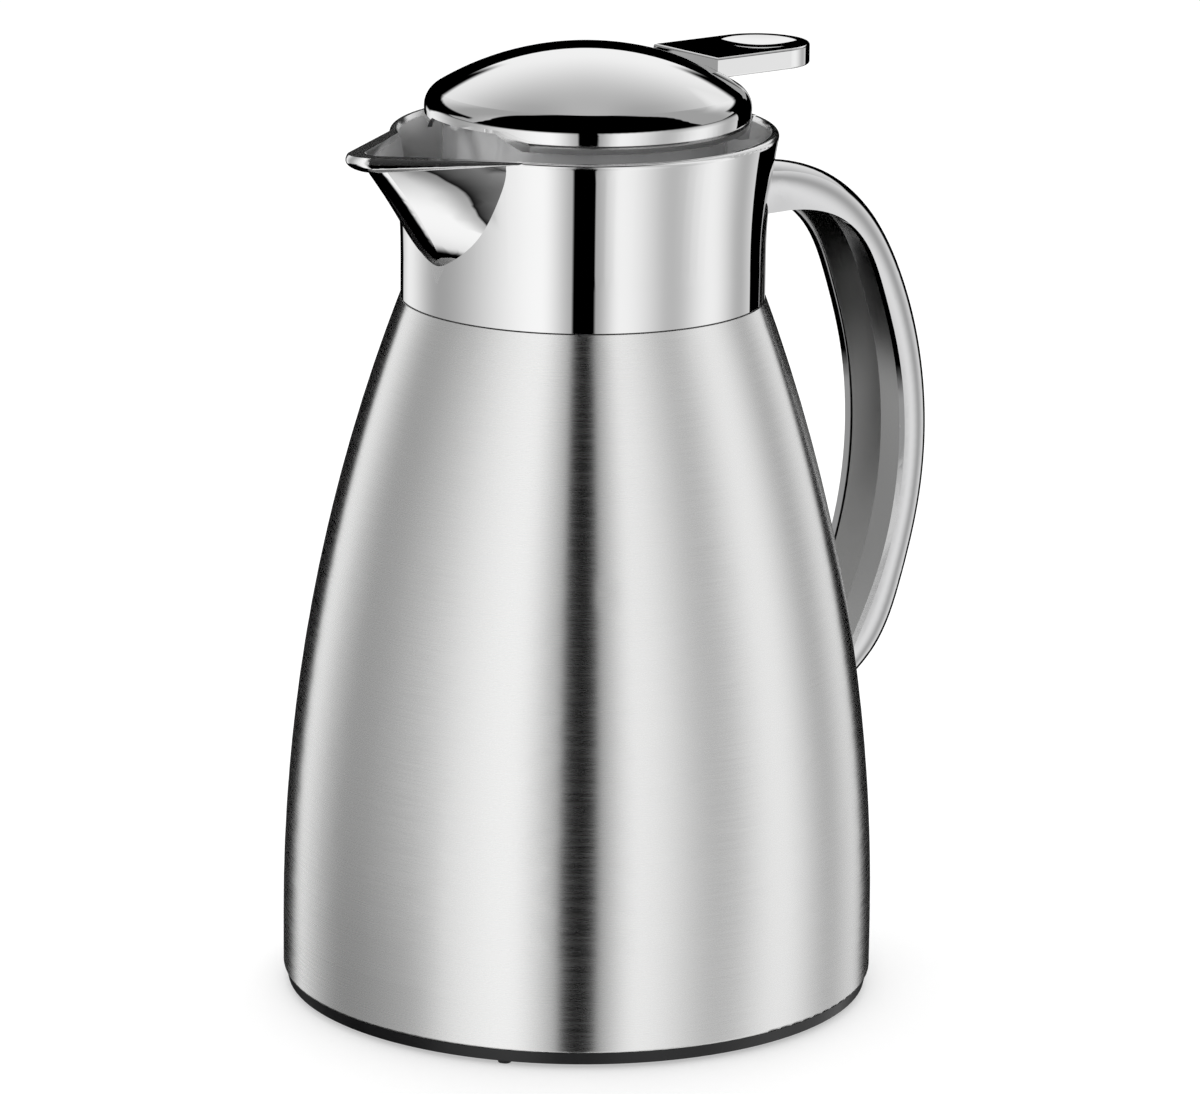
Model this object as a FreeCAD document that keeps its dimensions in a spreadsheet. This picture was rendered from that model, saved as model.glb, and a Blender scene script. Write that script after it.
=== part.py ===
"""Thermal jug: double-walled steel body, pouring collar, handle, and a sprung lid on a hinge.

Lengths are in millimetres. The jug stands on z = 0 around the Z axis, the spout points to -X and the
handle to +X.
"""

import FreeCAD
import Part
import math
import os

import Sketcher

DIMS = {
    "BodyRadius": 70.0,
    "BodyStraight": 16.0,
    "SeamStep": 0.25,
    "SeamHeight": 166.25,
    "ShellFoot": 3.9,
    "ShellWall": 0.8,
    "FootRound": 0.7,
    "NeckRadius": -11.5,
    "MouthHeight": 13.95,
    "MouthRadius": -3.5,
    "FlaskWall": 0.6,
    "FlaskGap": 8.0,
    "FlaskFloor": 14.0,
    "FlaskCorner": 16.0,
    "FlaskShoulder": -8.25,
    "FloorDiscHeight": 10.0,
    "FloorDiscSkirt": 4.0,
    "GetterRadius": 7.0,
    "GetterHeight": 1.8,
    "BaseBottom": 1.0,
    "BaseTop": 5.5,
    "BaseRadius": -1.1,
    "BaseFlare": 0.6,
    "BaseRecess": 1.0,
    "BaseRecessRadius": -3.0,
    "FootInner": -6.0,
    "FootOuter": -12.0,
    "FootDepth": 2.6,
    "LobeRadius": 6.0,
    "LobePitch": -7.7,
    "LobeAngle": 218.0,
    "LobeCount": 3,
    "Slip": 0.1,
    "Seam": 0.3,
    "CollarRadius": 42.5,
    "CollarWall": 2.2,
    "CollarFlareStart": 9.75,
    "CollarFlareArc": 157.0,
    "RimHeight": 39.55,
    "RimRadius": 2.9,
    "RimRound": 1.1,
    "FlangeTop": 2.75,
    "GasketThick": 1.0,
    "FlangeBore": 0.3,
    "FunnelRise": 3.8,
    "FunnelWall": 2.0,
    "RingSkirt": 1.6,
    "SpoutRoot": 0.8706,
    "SpoutZA": -28.3,
    "SpoutTipA": 0.9553,
    "SpoutHalfA": 0.0941,
    "SpoutNoseA": 2.6,
    "SpoutZB": -21.9,
    "SpoutTipB": 1.12,
    "SpoutHalfB": 0.3812,
    "SpoutNoseB": 7.0,
    "SpoutZC": -14.8,
    "SpoutTipC": 1.2353,
    "SpoutHalfC": 0.4612,
    "SpoutNoseC": 7.0,
    "SpoutZD": -6.8,
    "SpoutTipD": 1.3741,
    "SpoutHalfD": 0.5271,
    "SpoutNoseD": 6.0,
    "SpoutZE": -1.0,
    "SpoutTipE": 1.48,
    "SpoutHalfE": 0.5647,
    "SpoutNoseE": 5.2,
    "ChannelZA": -21.5,
    "ChannelTipA": 1.0635,
    "ChannelHalfA": 0.3012,
    "ChannelNoseA": 5.0,
    "ChannelTipC": 1.1812,
    "ChannelHalfC": 0.3953,
    "ChannelNoseC": 5.2,
    "ChannelTipD": 1.3176,
    "ChannelHalfD": 0.4635,
    "ChannelNoseD": 4.6,
    "ChannelZE": 3.2,
    "ChannelTipE": 1.5106,
    "ChannelHalfE": 0.5294,
    "ChannelNoseE": 4.0,
    "LipZA": 2.2,
    "LipTiltA": -4.6,
    "LipTipA": 1.5059,
    "LipHalfA": 0.5718,
    "LipZB": -0.3,
    "LipTiltB": 0.2,
    "LipTipB": 1.5741,
    "LipHalfB": 0.5859,
    "LipZC": -1.1,
    "LipTiltC": 1.7,
    "LipTipC": 1.5624,
    "LipHalfC": 0.5788,
    "LipNose": 5.4,
    "PinX": -3.9,
    "PinZ": -2.6,
    "PinRadius": 1.5,
    "PinRun": 0.05,
    "PinGrip": 0.02,
    "EarRadius": 2.8,
    "EarInner": 6.3,
    "EarOuter": 10.3,
    "EarRoot": 0.4,
    "KnuckleHalf": 5.9,
    "KnuckleRadius": 2.7,
    "DomeRadius": -4.5,
    "DomeEquator": 5.2,
    "DomeApex": 14.4,
    "DomeShoulder": 5.12,
    "DomeWall": 1.2,
    "DomeShift": 1.0,
    "SkirtRadius": -0.5,
    "SkirtHeight": 0.9,
    "NotchTop": -0.8,
    "NotchHalf": 12.0,
    "NotchSpread": 20.0,
    "CoreRadius": -9.3,
    "CoreWall": 2.0,
    "CoreBottom": 9.8,
    "DeckTop": 4.6,
    "DeckThick": 2.0,
    "BushRadius": 6.5,
    "BushBottom": -4.8,
    "LidScrewPitch": 20.0,
    "LidScrewRadius": 1.4,
    "LidScrewHead": 2.6,
    "LidScrewHeadHigh": 1.8,
    "LidScrewLong": 6.0,
    "BossRadius": 2.7,
    "ScrewCount": 3,
    "LeverTop": 9.9,
    "LeverThick": 4.8,
    "LeverFront": -8.8,
    "LeverHalf": 12.0,
    "LeverRound": 13.4,
    "LeverEdge": 0.5,
    "DishRadius": 9.3,
    "DishDeep": 1.2,
    "LeverScrewX": -5.6,
    "LeverScrewY": 5.5,
    "LeverScrewRadius": 1.25,
    "LeverScrewHead": 2.1,
    "LeverScrewHeadHigh": 1.5,
    "LeverScrewHeadTop": 3.3,
    "LeverScrewTop": 8.0,
    "StemRadius": 4.0,
    "StemTop": 3.2,
    "ClipZ": 0.1,
    "ClipThick": 1.0,
    "ClipRadius": 6.2,
    "ClipNeck": 3.2,
    "PlateRadius": 4.1,
    "PlateBottom": 4.4,
    "PlateThick": 2.4,
    "GasketRadius": 3.9,
    "GasketBore": -5.5,
    "GasketBottom": 1.2,
    "BeadInner": 0.5,
    "BeadOuter": 3.0,
    "BeadLift": 0.3,
    "SpringRadius": 9.0,
    "SpringWire": 0.6,
    "SpringTurns": 6,
    "SpringEnd": 0.1,
    "TrimTop": 0.9023,
    "HandleHalf": 11.2,
    "HandleWall": 2.0,
    "InlaySet": 0.5,
    "InlayCrease": 1.5,
    "InlayBack": 2.8,
    "InlayTaper": 0.9,
    "HandleX0": -2.5,
    "HandleZ0": 15.95,
    "HandleTilt0": 0.0,
    "HandleDeep0": 10.2,
    "HandleX1": 12.5,
    "HandleZ1": 15.75,
    "HandleTilt1": -3.0,
    "HandleDeep1": 10.2,
    "HandleX2": -2.0,
    "HandleZ2": 12.65,
    "HandleTilt2": -27.0,
    "HandleDeep2": 9.7,
    "HandleX3": 7.1,
    "HandleZ3": 1.0304,
    "HandleTilt3": -51.0,
    "HandleDeep3": 9.9,
    "HandleX4": 13.2,
    "HandleZ4": 0.9534,
    "HandleTilt4": -70.0,
    "HandleDeep4": 11.5,
    "HandleX5": 17.9,
    "HandleZ5": 0.8632,
    "HandleTilt5": -78.0,
    "HandleDeep5": 12.2,
    "HandleX6": 20.5,
    "HandleZ6": 0.7459,
    "HandleTilt6": -90.0,
    "HandleDeep6": 12.5,
    "HandleX7": 19.1,
    "HandleZ7": 0.6316,
    "HandleTilt7": -100.0,
    "HandleDeep7": 12.4,
    "HandleX8": 14.6,
    "HandleZ8": 0.5353,
    "HandleTilt8": -110.0,
    "HandleDeep8": 12.5,
    "HandleX9": 7.0,
    "HandleZ9": 0.4421,
    "HandleTilt9": -121.0,
    "HandleDeep9": 12.2,
    "HandleX10": -12.5,
    "HandleZ10": 0.2857,
    "HandleTilt10": -130.0,
    "HandleDeep10": 11.4,
    "AnchorHalf": 3.8,
    "AnchorEnd": 11.5,
    "AnchorLow": 3.0,
    "AnchorHigh": 7.1,
    "UpperScrewZ": 5.0,
    "UpperScrewRadius": 1.25,
    "UpperScrewHead": 2.6,
    "UpperScrewHeadHigh": 1.8,
    "UpperScrewEnd": 8.5,
    "BracketX": 1.15,
    "BracketZ": 0.3958,
    "BracketTilt": -129.7,
    "BracketLow": 2.95,
    "BracketHigh": 5.0,
    "BracketHalf": 4.2,
    "BracketBack": 5.0,
    "BracketReach": 13.0,
    "LowerScrewRadius": 1.4,
    "LowerScrewHead": 2.8,
    "LowerScrewHeadHigh": 1.6,
    "LowerScrewEnd": 6.4,
}
# Sizes that start from another size of the sheet, not from the jug's axis or the table.
STARTS_FROM = {
    "BodyRadius": (
        "BaseRadius", "FootOuter", "LobePitch", "HandleX2", "HandleX3", "HandleX4", "HandleX5",
        "HandleX6", "HandleX7", "HandleX8", "HandleX9", "HandleX10", "BracketX",
    ),
    "FootOuter": (
        "FootInner",
    ),
    "FootInner": (
        "BaseRecessRadius",
    ),
    "SeamHeight": (
        "MouthHeight", "FlaskShoulder", "CollarFlareStart", "RimHeight", "FlangeTop", "HandleZ0",
        "HandleZ1", "HandleZ2",
    ),
    "HandleZ0": (
        "AnchorLow", "AnchorHigh", "UpperScrewZ",
    ),
    "MouthHeight": (
        "GasketBottom", "PlateBottom", "CoreBottom",
    ),
    "RimHeight": (
        "SpoutZA", "SpoutZB", "SpoutZC", "SpoutZD", "SpoutZE", "ChannelZA", "ChannelZE", "LipZA",
        "LipZB", "LipZC", "PinZ", "SkirtHeight", "DomeEquator", "BushBottom", "DeckTop",
    ),
    "DomeEquator": (
        "DomeApex", "NotchTop", "LeverTop", "LeverScrewHeadTop", "LeverScrewTop",
    ),
    "DeckTop": (
        "ClipZ", "StemTop",
    ),
    "CollarRadius": (
        "NeckRadius", "RimRadius", "PinX", "EarRoot", "DomeRadius", "CoreRadius", "HandleX0",
        "HandleX1", "AnchorEnd", "UpperScrewEnd",
    ),
    "NeckRadius": (
        "MouthRadius", "FlangeBore",
    ),
    "MouthRadius": (
        "PlateRadius", "GasketRadius", "GasketBore", "BeadInner", "BeadOuter",
    ),
    "DomeRadius": (
        "SkirtRadius",
    ),
    "PinX": (
        "LeverFront", "LeverRound", "LeverScrewX",
    ),
}
# Sizes that are a share of another size of the sheet.
SHARE_OF = {
    "SeamHeight": (
        "TrimTop", "HandleZ3", "HandleZ4", "HandleZ5", "HandleZ6", "HandleZ7", "HandleZ8",
        "HandleZ9", "HandleZ10", "BracketZ",
    ),
    "CollarRadius": (
        "SpoutTipA", "SpoutTipB", "SpoutTipC", "SpoutTipD", "SpoutTipE", "ChannelTipA",
        "ChannelTipC", "ChannelTipD", "ChannelTipE", "LipTipA", "LipTipB", "LipTipC", "SpoutRoot",
        "SpoutHalfA", "SpoutHalfB", "SpoutHalfC", "SpoutHalfD", "SpoutHalfE", "ChannelHalfA",
        "ChannelHalfC", "ChannelHalfD", "ChannelHalfE", "LipHalfA", "LipHalfB", "LipHalfC",
    ),
}
START = {name: base for base, names in STARTS_FROM.items() for name in names}
WHOLE = {name: base for base, names in SHARE_OF.items() for name in names}
STATIONS = range(11)


class Dim:
    """A size that carries its number and the sheet expression that drives it."""

    def __init__(self, number, text):
        self.number = float(number)
        self.text = text

    def join(self, other, sign, number):
        return Dim(number, "(%s %s %s)" % (self.text, sign, other.text))

    def __add__(self, other):
        other = as_dim(other)
        return self.join(other, "+", self.number + other.number)

    def __sub__(self, other):
        other = as_dim(other)
        return self.join(other, "-", self.number - other.number)

    def __mul__(self, other):
        other = as_dim(other)
        return self.join(other, "*", self.number * other.number)

    def __truediv__(self, other):
        other = as_dim(other)
        return self.join(other, "/", self.number / other.number)

    def __neg__(self):
        return Dim(-self.number, "(0 - %s)" % self.text)

    def root(self):
        return Dim(math.sqrt(self.number), "sqrt(%s)" % self.text)

    def sine(self):
        return Dim(math.sin(math.radians(self.number)), "sin(%s * 1 deg)" % self.text)

    def cosine(self):
        return Dim(math.cos(math.radians(self.number)), "cos(%s * 1 deg)" % self.text)


def as_dim(value):
    return value if isinstance(value, Dim) else Dim(value, repr(float(value)))


def d(name):
    """The named size, with the sheet's size that it starts from or is a share of."""
    own = Dim(DIMS[name], "Dims." + name)
    if name in START:
        return d(START[name]) + own
    if name in WHOLE:
        return d(WHOLE[name]) * own
    return own


ZERO = as_dim(0)
doc = FreeCAD.newDocument("ThermalJug")
sheet = doc.addObject("Spreadsheet::Sheet", "Dims")
for row, (alias, number) in enumerate(DIMS.items(), start=1):
    sheet.set("A%d" % row, alias)
    sheet.set("B%d" % row, str(number))
    sheet.setAlias("B%d" % row, alias)
doc.recompute()


def new_body(node):
    body = doc.addObject("PartDesign::Body", node)
    body.Label = node
    body.Placement = FreeCAD.Placement()
    return body


def origin_part(body, role):
    """One of the body's own origin planes or axes."""
    return [f for f in body.Origin.OriginFeatures if f.Role == role][0]


def new_sketch(body, name, plane, shift=None, tilt=None):
    """A sketch on an origin plane of its body, shifted by (x, z) and tilted about Y."""
    sketch = body.newObject("Sketcher::SketchObject", name)
    sketch.AttachmentSupport = [(origin_part(body, plane), "")]
    sketch.MapMode = "FlatFace"
    if shift is not None:
        angle = 0.0 if tilt is None else tilt.number
        sketch.AttachmentOffset = FreeCAD.Placement(
            FreeCAD.Vector(shift[0].number, 0, shift[1].number),
            FreeCAD.Rotation(FreeCAD.Vector(0, 1, 0), angle or 1e-3),
        )
        sketch.setExpression("AttachmentOffset.Base.x", shift[0].text)
        sketch.setExpression("AttachmentOffset.Base.z", shift[1].text)
        sketch.setExpression("AttachmentOffset.Rotation.Angle", (tilt or ZERO).text)
    return sketch


def bind(sketch, kind, *items):
    """Adds a size constraint whose last item drives it from the sheet."""
    size = items[-1]
    index = sketch.addConstraint(Sketcher.Constraint(kind, *items[:-1], size.number))
    sketch.setExpression("Constraints[%d]" % index, size.text)


def pin_point(sketch, geo, place, x, y):
    """Holds one point of a sketch at (x, y)."""
    if x is ZERO:
        sketch.addConstraint(Sketcher.Constraint("PointOnObject", geo, place, -2))
    else:
        bind(sketch, "DistanceX", -1, 1, geo, place, x)
    if y is ZERO:
        sketch.addConstraint(Sketcher.Constraint("PointOnObject", geo, place, -1))
    else:
        bind(sketch, "DistanceY", -1, 1, geo, place, y)


def arc_between(a, b, radius):
    """The minor arc from a to b; a positive radius turns left on the way."""
    span = b.sub(a)
    half = span.Length / 2
    left = FreeCAD.Vector(-span.y, span.x, 0).normalize()
    rise = math.sqrt(max(radius * radius - half * half, 0.0))
    centre = a.add(b).multiply(0.5).add(left.multiply(rise if radius > 0 else -rise))
    start, end = (a, b) if radius > 0 else (b, a)
    angles = [math.atan2(p.y - centre.y, p.x - centre.x) for p in (start, end)]
    if angles[1] < angles[0]:
        angles[1] += 2 * math.pi
    circle = Part.Circle(centre, FreeCAD.Vector(0, 0, 1), abs(radius))
    return Part.ArcOfCircle(circle, angles[0], angles[1])


def outline(sketch, corners):
    """A closed loop through (x, y) or (x, y, bend) corners; bend is the arc radius to the next one."""
    spots = [(as_dim(c[0]), as_dim(c[1])) for c in corners]
    spots = [tuple(ZERO if v.number == 0 else v for v in s) for s in spots]
    ends = []
    for i, corner in enumerate(corners):
        x0, y0 = spots[i]
        x1, y1 = spots[(i + 1) % len(spots)]
        a = FreeCAD.Vector(x0.number, y0.number, 0)
        b = FreeCAD.Vector(x1.number, y1.number, 0)
        if len(corner) == 2:
            ends.append((sketch.addGeometry(Part.LineSegment(a, b)), 1, 2, None))
        else:
            geo = sketch.addGeometry(arc_between(a, b, corner[2].number))
            left = corner[2].number > 0
            size = corner[2] if left else -corner[2]
            ends.append((geo, 1 if left else 2, 2 if left else 1, size))
    for i, (geo, first, last, size) in enumerate(ends):
        after = ends[(i + 1) % len(ends)]
        sketch.addConstraint(Sketcher.Constraint("Coincident", geo, last, after[0], after[1]))
    for (geo, first, last, size), (x, y) in zip(ends, spots):
        pin_point(sketch, geo, first, x, y)
    for geo, first, last, size in ends:
        if size is not None:
            bind(sketch, "Radius", geo, size)


def ring_at(sketch, x, y, radius):
    """A full circle at (x, y)."""
    centre = FreeCAD.Vector(x.number, y.number, 0)
    geo = sketch.addGeometry(Part.Circle(centre, FreeCAD.Vector(0, 0, 1), radius.number))
    pin_point(sketch, geo, 3, x, y)
    bind(sketch, "Radius", geo, radius)


def nose_outline(sketch, root, half, tip, nose):
    """A V that starts at x = -root, half wide on each side, and ends in a round nose at x = -tip."""
    reach = tip.number - nose.number
    span = math.hypot(reach - root.number, half.number)
    touch = math.atan2(half.number, reach - root.number) + math.acos(nose.number / span)
    touch_x = -reach + nose.number * math.cos(touch)
    touch_y = nose.number * math.sin(touch)
    upper = FreeCAD.Vector(-root.number, half.number, 0)
    lower = FreeCAD.Vector(-root.number, -half.number, 0)
    high = FreeCAD.Vector(touch_x, touch_y, 0)
    low = FreeCAD.Vector(touch_x, -touch_y, 0)
    side_up = sketch.addGeometry(Part.LineSegment(upper, high))
    round_end = sketch.addGeometry(arc_between(high, low, nose.number))
    side_down = sketch.addGeometry(Part.LineSegment(low, lower))
    closing = sketch.addGeometry(Part.LineSegment(lower, upper))
    sketch.addConstraint(Sketcher.Constraint("Tangent", side_up, 2, round_end, 1))
    sketch.addConstraint(Sketcher.Constraint("Tangent", round_end, 2, side_down, 1))
    sketch.addConstraint(Sketcher.Constraint("Coincident", side_down, 2, closing, 1))
    sketch.addConstraint(Sketcher.Constraint("Coincident", closing, 2, side_up, 1))
    pin_point(sketch, side_up, 1, -root, half)
    pin_point(sketch, side_down, 2, -root, -half)
    pin_point(sketch, round_end, 3, -(tip - nose), ZERO)
    bind(sketch, "Radius", round_end, nose)


def revolve(body, name, corners, cut=False, shift=None):
    """Turns a loop of (radius, height) corners about the Z axis, or about one shifted to (x, -y)."""
    sketch = new_sketch(body, name + "Sketch", "XZ_Plane", shift)
    outline(sketch, corners)
    kind = "PartDesign::Groove" if cut else "PartDesign::Revolution"
    feature = body.newObject(kind, name)
    feature.Profile = sketch
    feature.ReferenceAxis = (sketch, ["V_Axis"])
    feature.Angle = 360
    doc.recompute()
    return feature


def spin(body, name, shift, tilt, corners):
    """Turns a loop of (length, radius) corners about the X axis of a shifted and tilted plane."""
    sketch = new_sketch(body, name + "Sketch", "XY_Plane", shift, tilt)
    outline(sketch, corners)
    feature = body.newObject("PartDesign::Revolution", name)
    feature.Profile = sketch
    feature.ReferenceAxis = (sketch, ["H_Axis"])
    feature.Angle = 360
    doc.recompute()
    return feature


def extrude(body, name, sketch, length, cut=False, both=False, flip=False):
    """Pads or pockets a sketch by a driven length."""
    feature = body.newObject("PartDesign::Pocket" if cut else "PartDesign::Pad", name)
    feature.Profile = sketch
    feature.Length = length.number
    feature.setExpression("Length", length.text)
    feature.Midplane = both
    feature.Reversed = flip
    doc.recompute()
    return feature


def loft(body, name, sketches, cut=False):
    """A smooth loft through the sketches."""
    feature = body.newObject("PartDesign::SubtractiveLoft" if cut else "PartDesign::AdditiveLoft", name)
    feature.Profile = sketches[0]
    feature.Sections = sketches[1:]
    doc.recompute()
    return feature


def polar(body, name, feature, count):
    """Repeats a feature around the Z axis."""
    pattern = body.newObject("PartDesign::PolarPattern", name)
    pattern.Originals = [feature]
    pattern.Axis = (origin_part(body, "Z_Axis"), [""])
    pattern.Angle = 360
    pattern.Occurrences = int(count.number)
    pattern.setExpression("Occurrences", count.text)
    body.Tip = pattern
    doc.recompute()
    return pattern


def mirror(body, name, feature):
    """Repeats a feature on the other side of the jug's middle plane."""
    copy = body.newObject("PartDesign::Mirrored", name)
    copy.Originals = [feature]
    copy.MirrorPlane = (origin_part(body, "XZ_Plane"), [""])
    body.Tip = copy
    doc.recompute()
    return copy


def soften(body, name, radius, wanted):
    """Rounds the edges of a body that pass a test."""
    base = body.Tip
    names = ["Edge%d" % i for i, edge in enumerate(base.Shape.Edges, start=1) if wanted(edge)]
    feature = body.newObject("PartDesign::Fillet", name)
    feature.Base = (base, names)
    feature.Radius = radius.number
    feature.setExpression("Radius", radius.text)
    doc.recompute()
    return feature


def body_arc():
    """Radius of the arc that draws the body wall in from its straight foot to the collar."""
    rise = d("SeamHeight") - d("BodyStraight")
    draw = d("BodyRadius") - d("CollarRadius") - d("SeamStep")
    return (rise * rise + draw * draw) / (draw * 2)


def body_arc_radius(height, inset=0.0):
    """Radius of the drawn-in body wall at a height above its straight foot, inset towards the axis."""
    arc = body_arc() - inset
    rise = as_dim(height) - d("BodyStraight")
    return d("BodyRadius") - body_arc() + (arc * arc - rise * rise).root()


def collar_flare(height):
    """Radius of the collar's outer wall at a height in its flare."""
    rise = as_dim(height) - d("CollarFlareStart")
    arc = d("CollarFlareArc")
    return d("CollarRadius") + arc - (arc * arc - rise * rise).root()


def outer_shell():
    body = new_body("outer_shell")
    wall = d("ShellWall")
    seam = d("SeamHeight")
    inner_seam = seam - wall
    neck = d("NeckRadius")
    mouth = d("MouthHeight")
    foot = d("ShellFoot")
    rounded = d("FootRound")
    weld = d("MouthRadius") + d("FlaskWall") + d("Slip")
    revolve(body, "Shell", [
        (d("BodyRadius") - rounded, foot, rounded),
        (d("BodyRadius"), foot + rounded),
        (d("BodyRadius"), d("BodyStraight"), body_arc()),
        (body_arc_radius(seam), seam),
        (neck, seam),
        (neck, mouth),
        (weld, mouth),
        (weld, mouth - wall),
        (neck - wall, mouth - wall),
        (neck - wall, inner_seam),
        (body_arc_radius(inner_seam, wall), inner_seam, -(body_arc() - wall)),
        (d("BodyRadius") - wall, d("BodyStraight")),
        (d("BodyRadius") - wall, foot),
    ])
    return body


def inner_flask():
    body = new_body("inner_flask")
    wall = d("FlaskWall")
    gap = d("FlaskGap")
    neck = d("MouthRadius") + wall
    top = d("MouthHeight")
    shoulder = d("FlaskShoulder")
    floor = d("FlaskFloor")
    corner = d("FlaskCorner")
    turn = floor + corner
    wide = body_arc_radius(turn, gap)
    wide_in = body_arc_radius(turn, gap + wall)
    throat = shoulder + (body_arc_radius(shoulder, gap) - neck)
    revolve(body, "Flask", [
        (ZERO, floor),
        (wide - corner, floor, corner),
        (wide, turn, body_arc() - gap),
        (body_arc_radius(shoulder, gap), shoulder),
        (neck, throat),
        (neck, top),
        (d("MouthRadius"), top),
        (d("MouthRadius"), throat - wall / 2),
        (body_arc_radius(shoulder - wall, gap + wall), shoulder - wall, -(body_arc() - gap - wall)),
        (wide_in, turn, -(corner - wall)),
        (wide_in - corner + wall, floor + wall),
        (ZERO, floor + wall),
    ])
    return body


def vacuum_floor():
    body = new_body("vacuum_floor")
    wall = d("ShellWall")
    radius = d("BodyRadius") - wall - d("Slip")
    top = d("FloorDiscHeight") + wall
    revolve(body, "Disc", [
        (ZERO, d("FloorDiscHeight")),
        (radius - wall, d("FloorDiscHeight")),
        (radius - wall, d("FloorDiscHeight") - d("FloorDiscSkirt")),
        (radius, d("FloorDiscHeight") - d("FloorDiscSkirt")),
        (radius, top),
        (ZERO, top),
    ])
    return body


def getter():
    body = new_body("getter")
    seat = d("FloorDiscHeight") + d("ShellWall")
    revolve(body, "Capsule", [
        (ZERO, seat),
        (d("GetterRadius"), seat),
        (d("GetterRadius"), seat + d("GetterHeight")),
        (ZERO, seat + d("GetterHeight")),
    ])
    return body


def base_plate():
    body = new_body("base_plate")
    bottom = d("BaseBottom")
    step = d("ShellFoot") - d("Slip") / 2
    recess = bottom + d("BaseRecess")
    inner = d("FootInner") - d("Slip")
    outer = d("FootOuter") + d("Slip")
    spigot = d("BodyRadius") - d("ShellWall") - d("Slip")
    revolve(body, "Plate", [
        (ZERO, recess),
        (d("BaseRecessRadius"), recess),
        (d("BaseRecessRadius"), bottom),
        (inner, bottom),
        (inner, d("FootDepth")),
        (outer, d("FootDepth")),
        (outer, bottom),
        (d("BaseRadius"), bottom),
        (d("BaseRadius") + d("BaseFlare"), step),
        (spigot, step),
        (spigot, d("BaseTop")),
        (ZERO, d("BaseTop")),
    ])
    return body


def foot_ring():
    body = new_body("foot_ring")
    revolve(body, "Ring", [
        (d("FootInner"), ZERO),
        (d("FootOuter"), ZERO),
        (d("FootOuter"), d("FootDepth")),
        (d("FootInner"), d("FootDepth")),
    ])
    sketch = new_sketch(body, "LobeSketch", "XY_Plane")
    pitch = d("LobePitch")
    ring_at(sketch, pitch * d("LobeAngle").cosine(), pitch * d("LobeAngle").sine(), d("LobeRadius"))
    lobe = extrude(body, "Lobe", sketch, d("BaseBottom") - d("Slip") / 2)
    polar(body, "Lobes", lobe, d("LobeCount"))
    return body


def collar_body():
    body = new_body("collar")
    bottom = d("SeamHeight") + d("Seam")
    rim = d("RimHeight")
    flare_top = rim - d("RimRound")
    revolve(body, "Blank", [
        (ZERO, bottom),
        (d("CollarRadius"), bottom),
        (d("CollarRadius"), d("CollarFlareStart"), -d("CollarFlareArc")),
        (collar_flare(flare_top), flare_top, d("RimRound")),
        (collar_flare(flare_top) - d("RimRound"), rim),
        (ZERO, rim),
    ])
    root = d("SpoutRoot")
    spout = []
    for level in "ABCDE":
        sketch = new_sketch(body, "Spout" + level, "XY_Plane", (ZERO, d("SpoutZ" + level)))
        nose_outline(sketch, root, d("SpoutHalf" + level), d("SpoutTip" + level), d("SpoutNose" + level))
        spout.append(sketch)
    loft(body, "Spout", spout)
    lip = []
    for level in "ABC":
        sketch = new_sketch(
            body, "Lip" + level, "XY_Plane", (ZERO, d("LipZ" + level)), d("LipTilt" + level)
        )
        nose_outline(sketch, root, d("LipHalf" + level), d("LipTip" + level), d("LipNose"))
        lip.append(sketch)
    loft(body, "Lip", lip)
    bore = d("CollarRadius") - d("CollarWall")
    above = d("ChannelZE") + d("CollarWall")
    seat = d("SeamHeight") + d("GasketThick")
    revolve(body, "Bore", [
        (ZERO, d("FlangeTop")),
        (bore, d("FlangeTop")),
        (bore, d("CollarFlareStart"), -(d("CollarFlareArc") + d("CollarWall"))),
        (collar_flare(flare_top) - d("CollarWall"), flare_top),
        (collar_flare(flare_top) - d("CollarWall") + d("RimRound") / 2, rim),
        (collar_flare(flare_top) - d("CollarWall") + d("RimRound") / 2, above),
        (ZERO, above),
    ], cut=True)
    revolve(body, "NeckHole", [
        (ZERO, bottom - d("CollarWall")),
        (bore, bottom - d("CollarWall")),
        (bore, seat),
        (d("FlangeBore"), seat),
        (d("FlangeBore"), d("FlangeTop") + d("CollarWall")),
        (ZERO, d("FlangeTop") + d("CollarWall")),
    ], cut=True)
    heights = {"A": d("ChannelZA"), "C": d("SpoutZC"), "D": d("SpoutZD"), "E": d("ChannelZE")}
    channel = []
    for level, height in heights.items():
        sketch = new_sketch(body, "Channel" + level, "XY_Plane", (ZERO, height))
        nose_outline(sketch, root, d("ChannelHalf" + level), d("ChannelTip" + level), d("ChannelNose" + level))
        channel.append(sketch)
    loft(body, "Channel", channel, cut=True)
    return body


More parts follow.
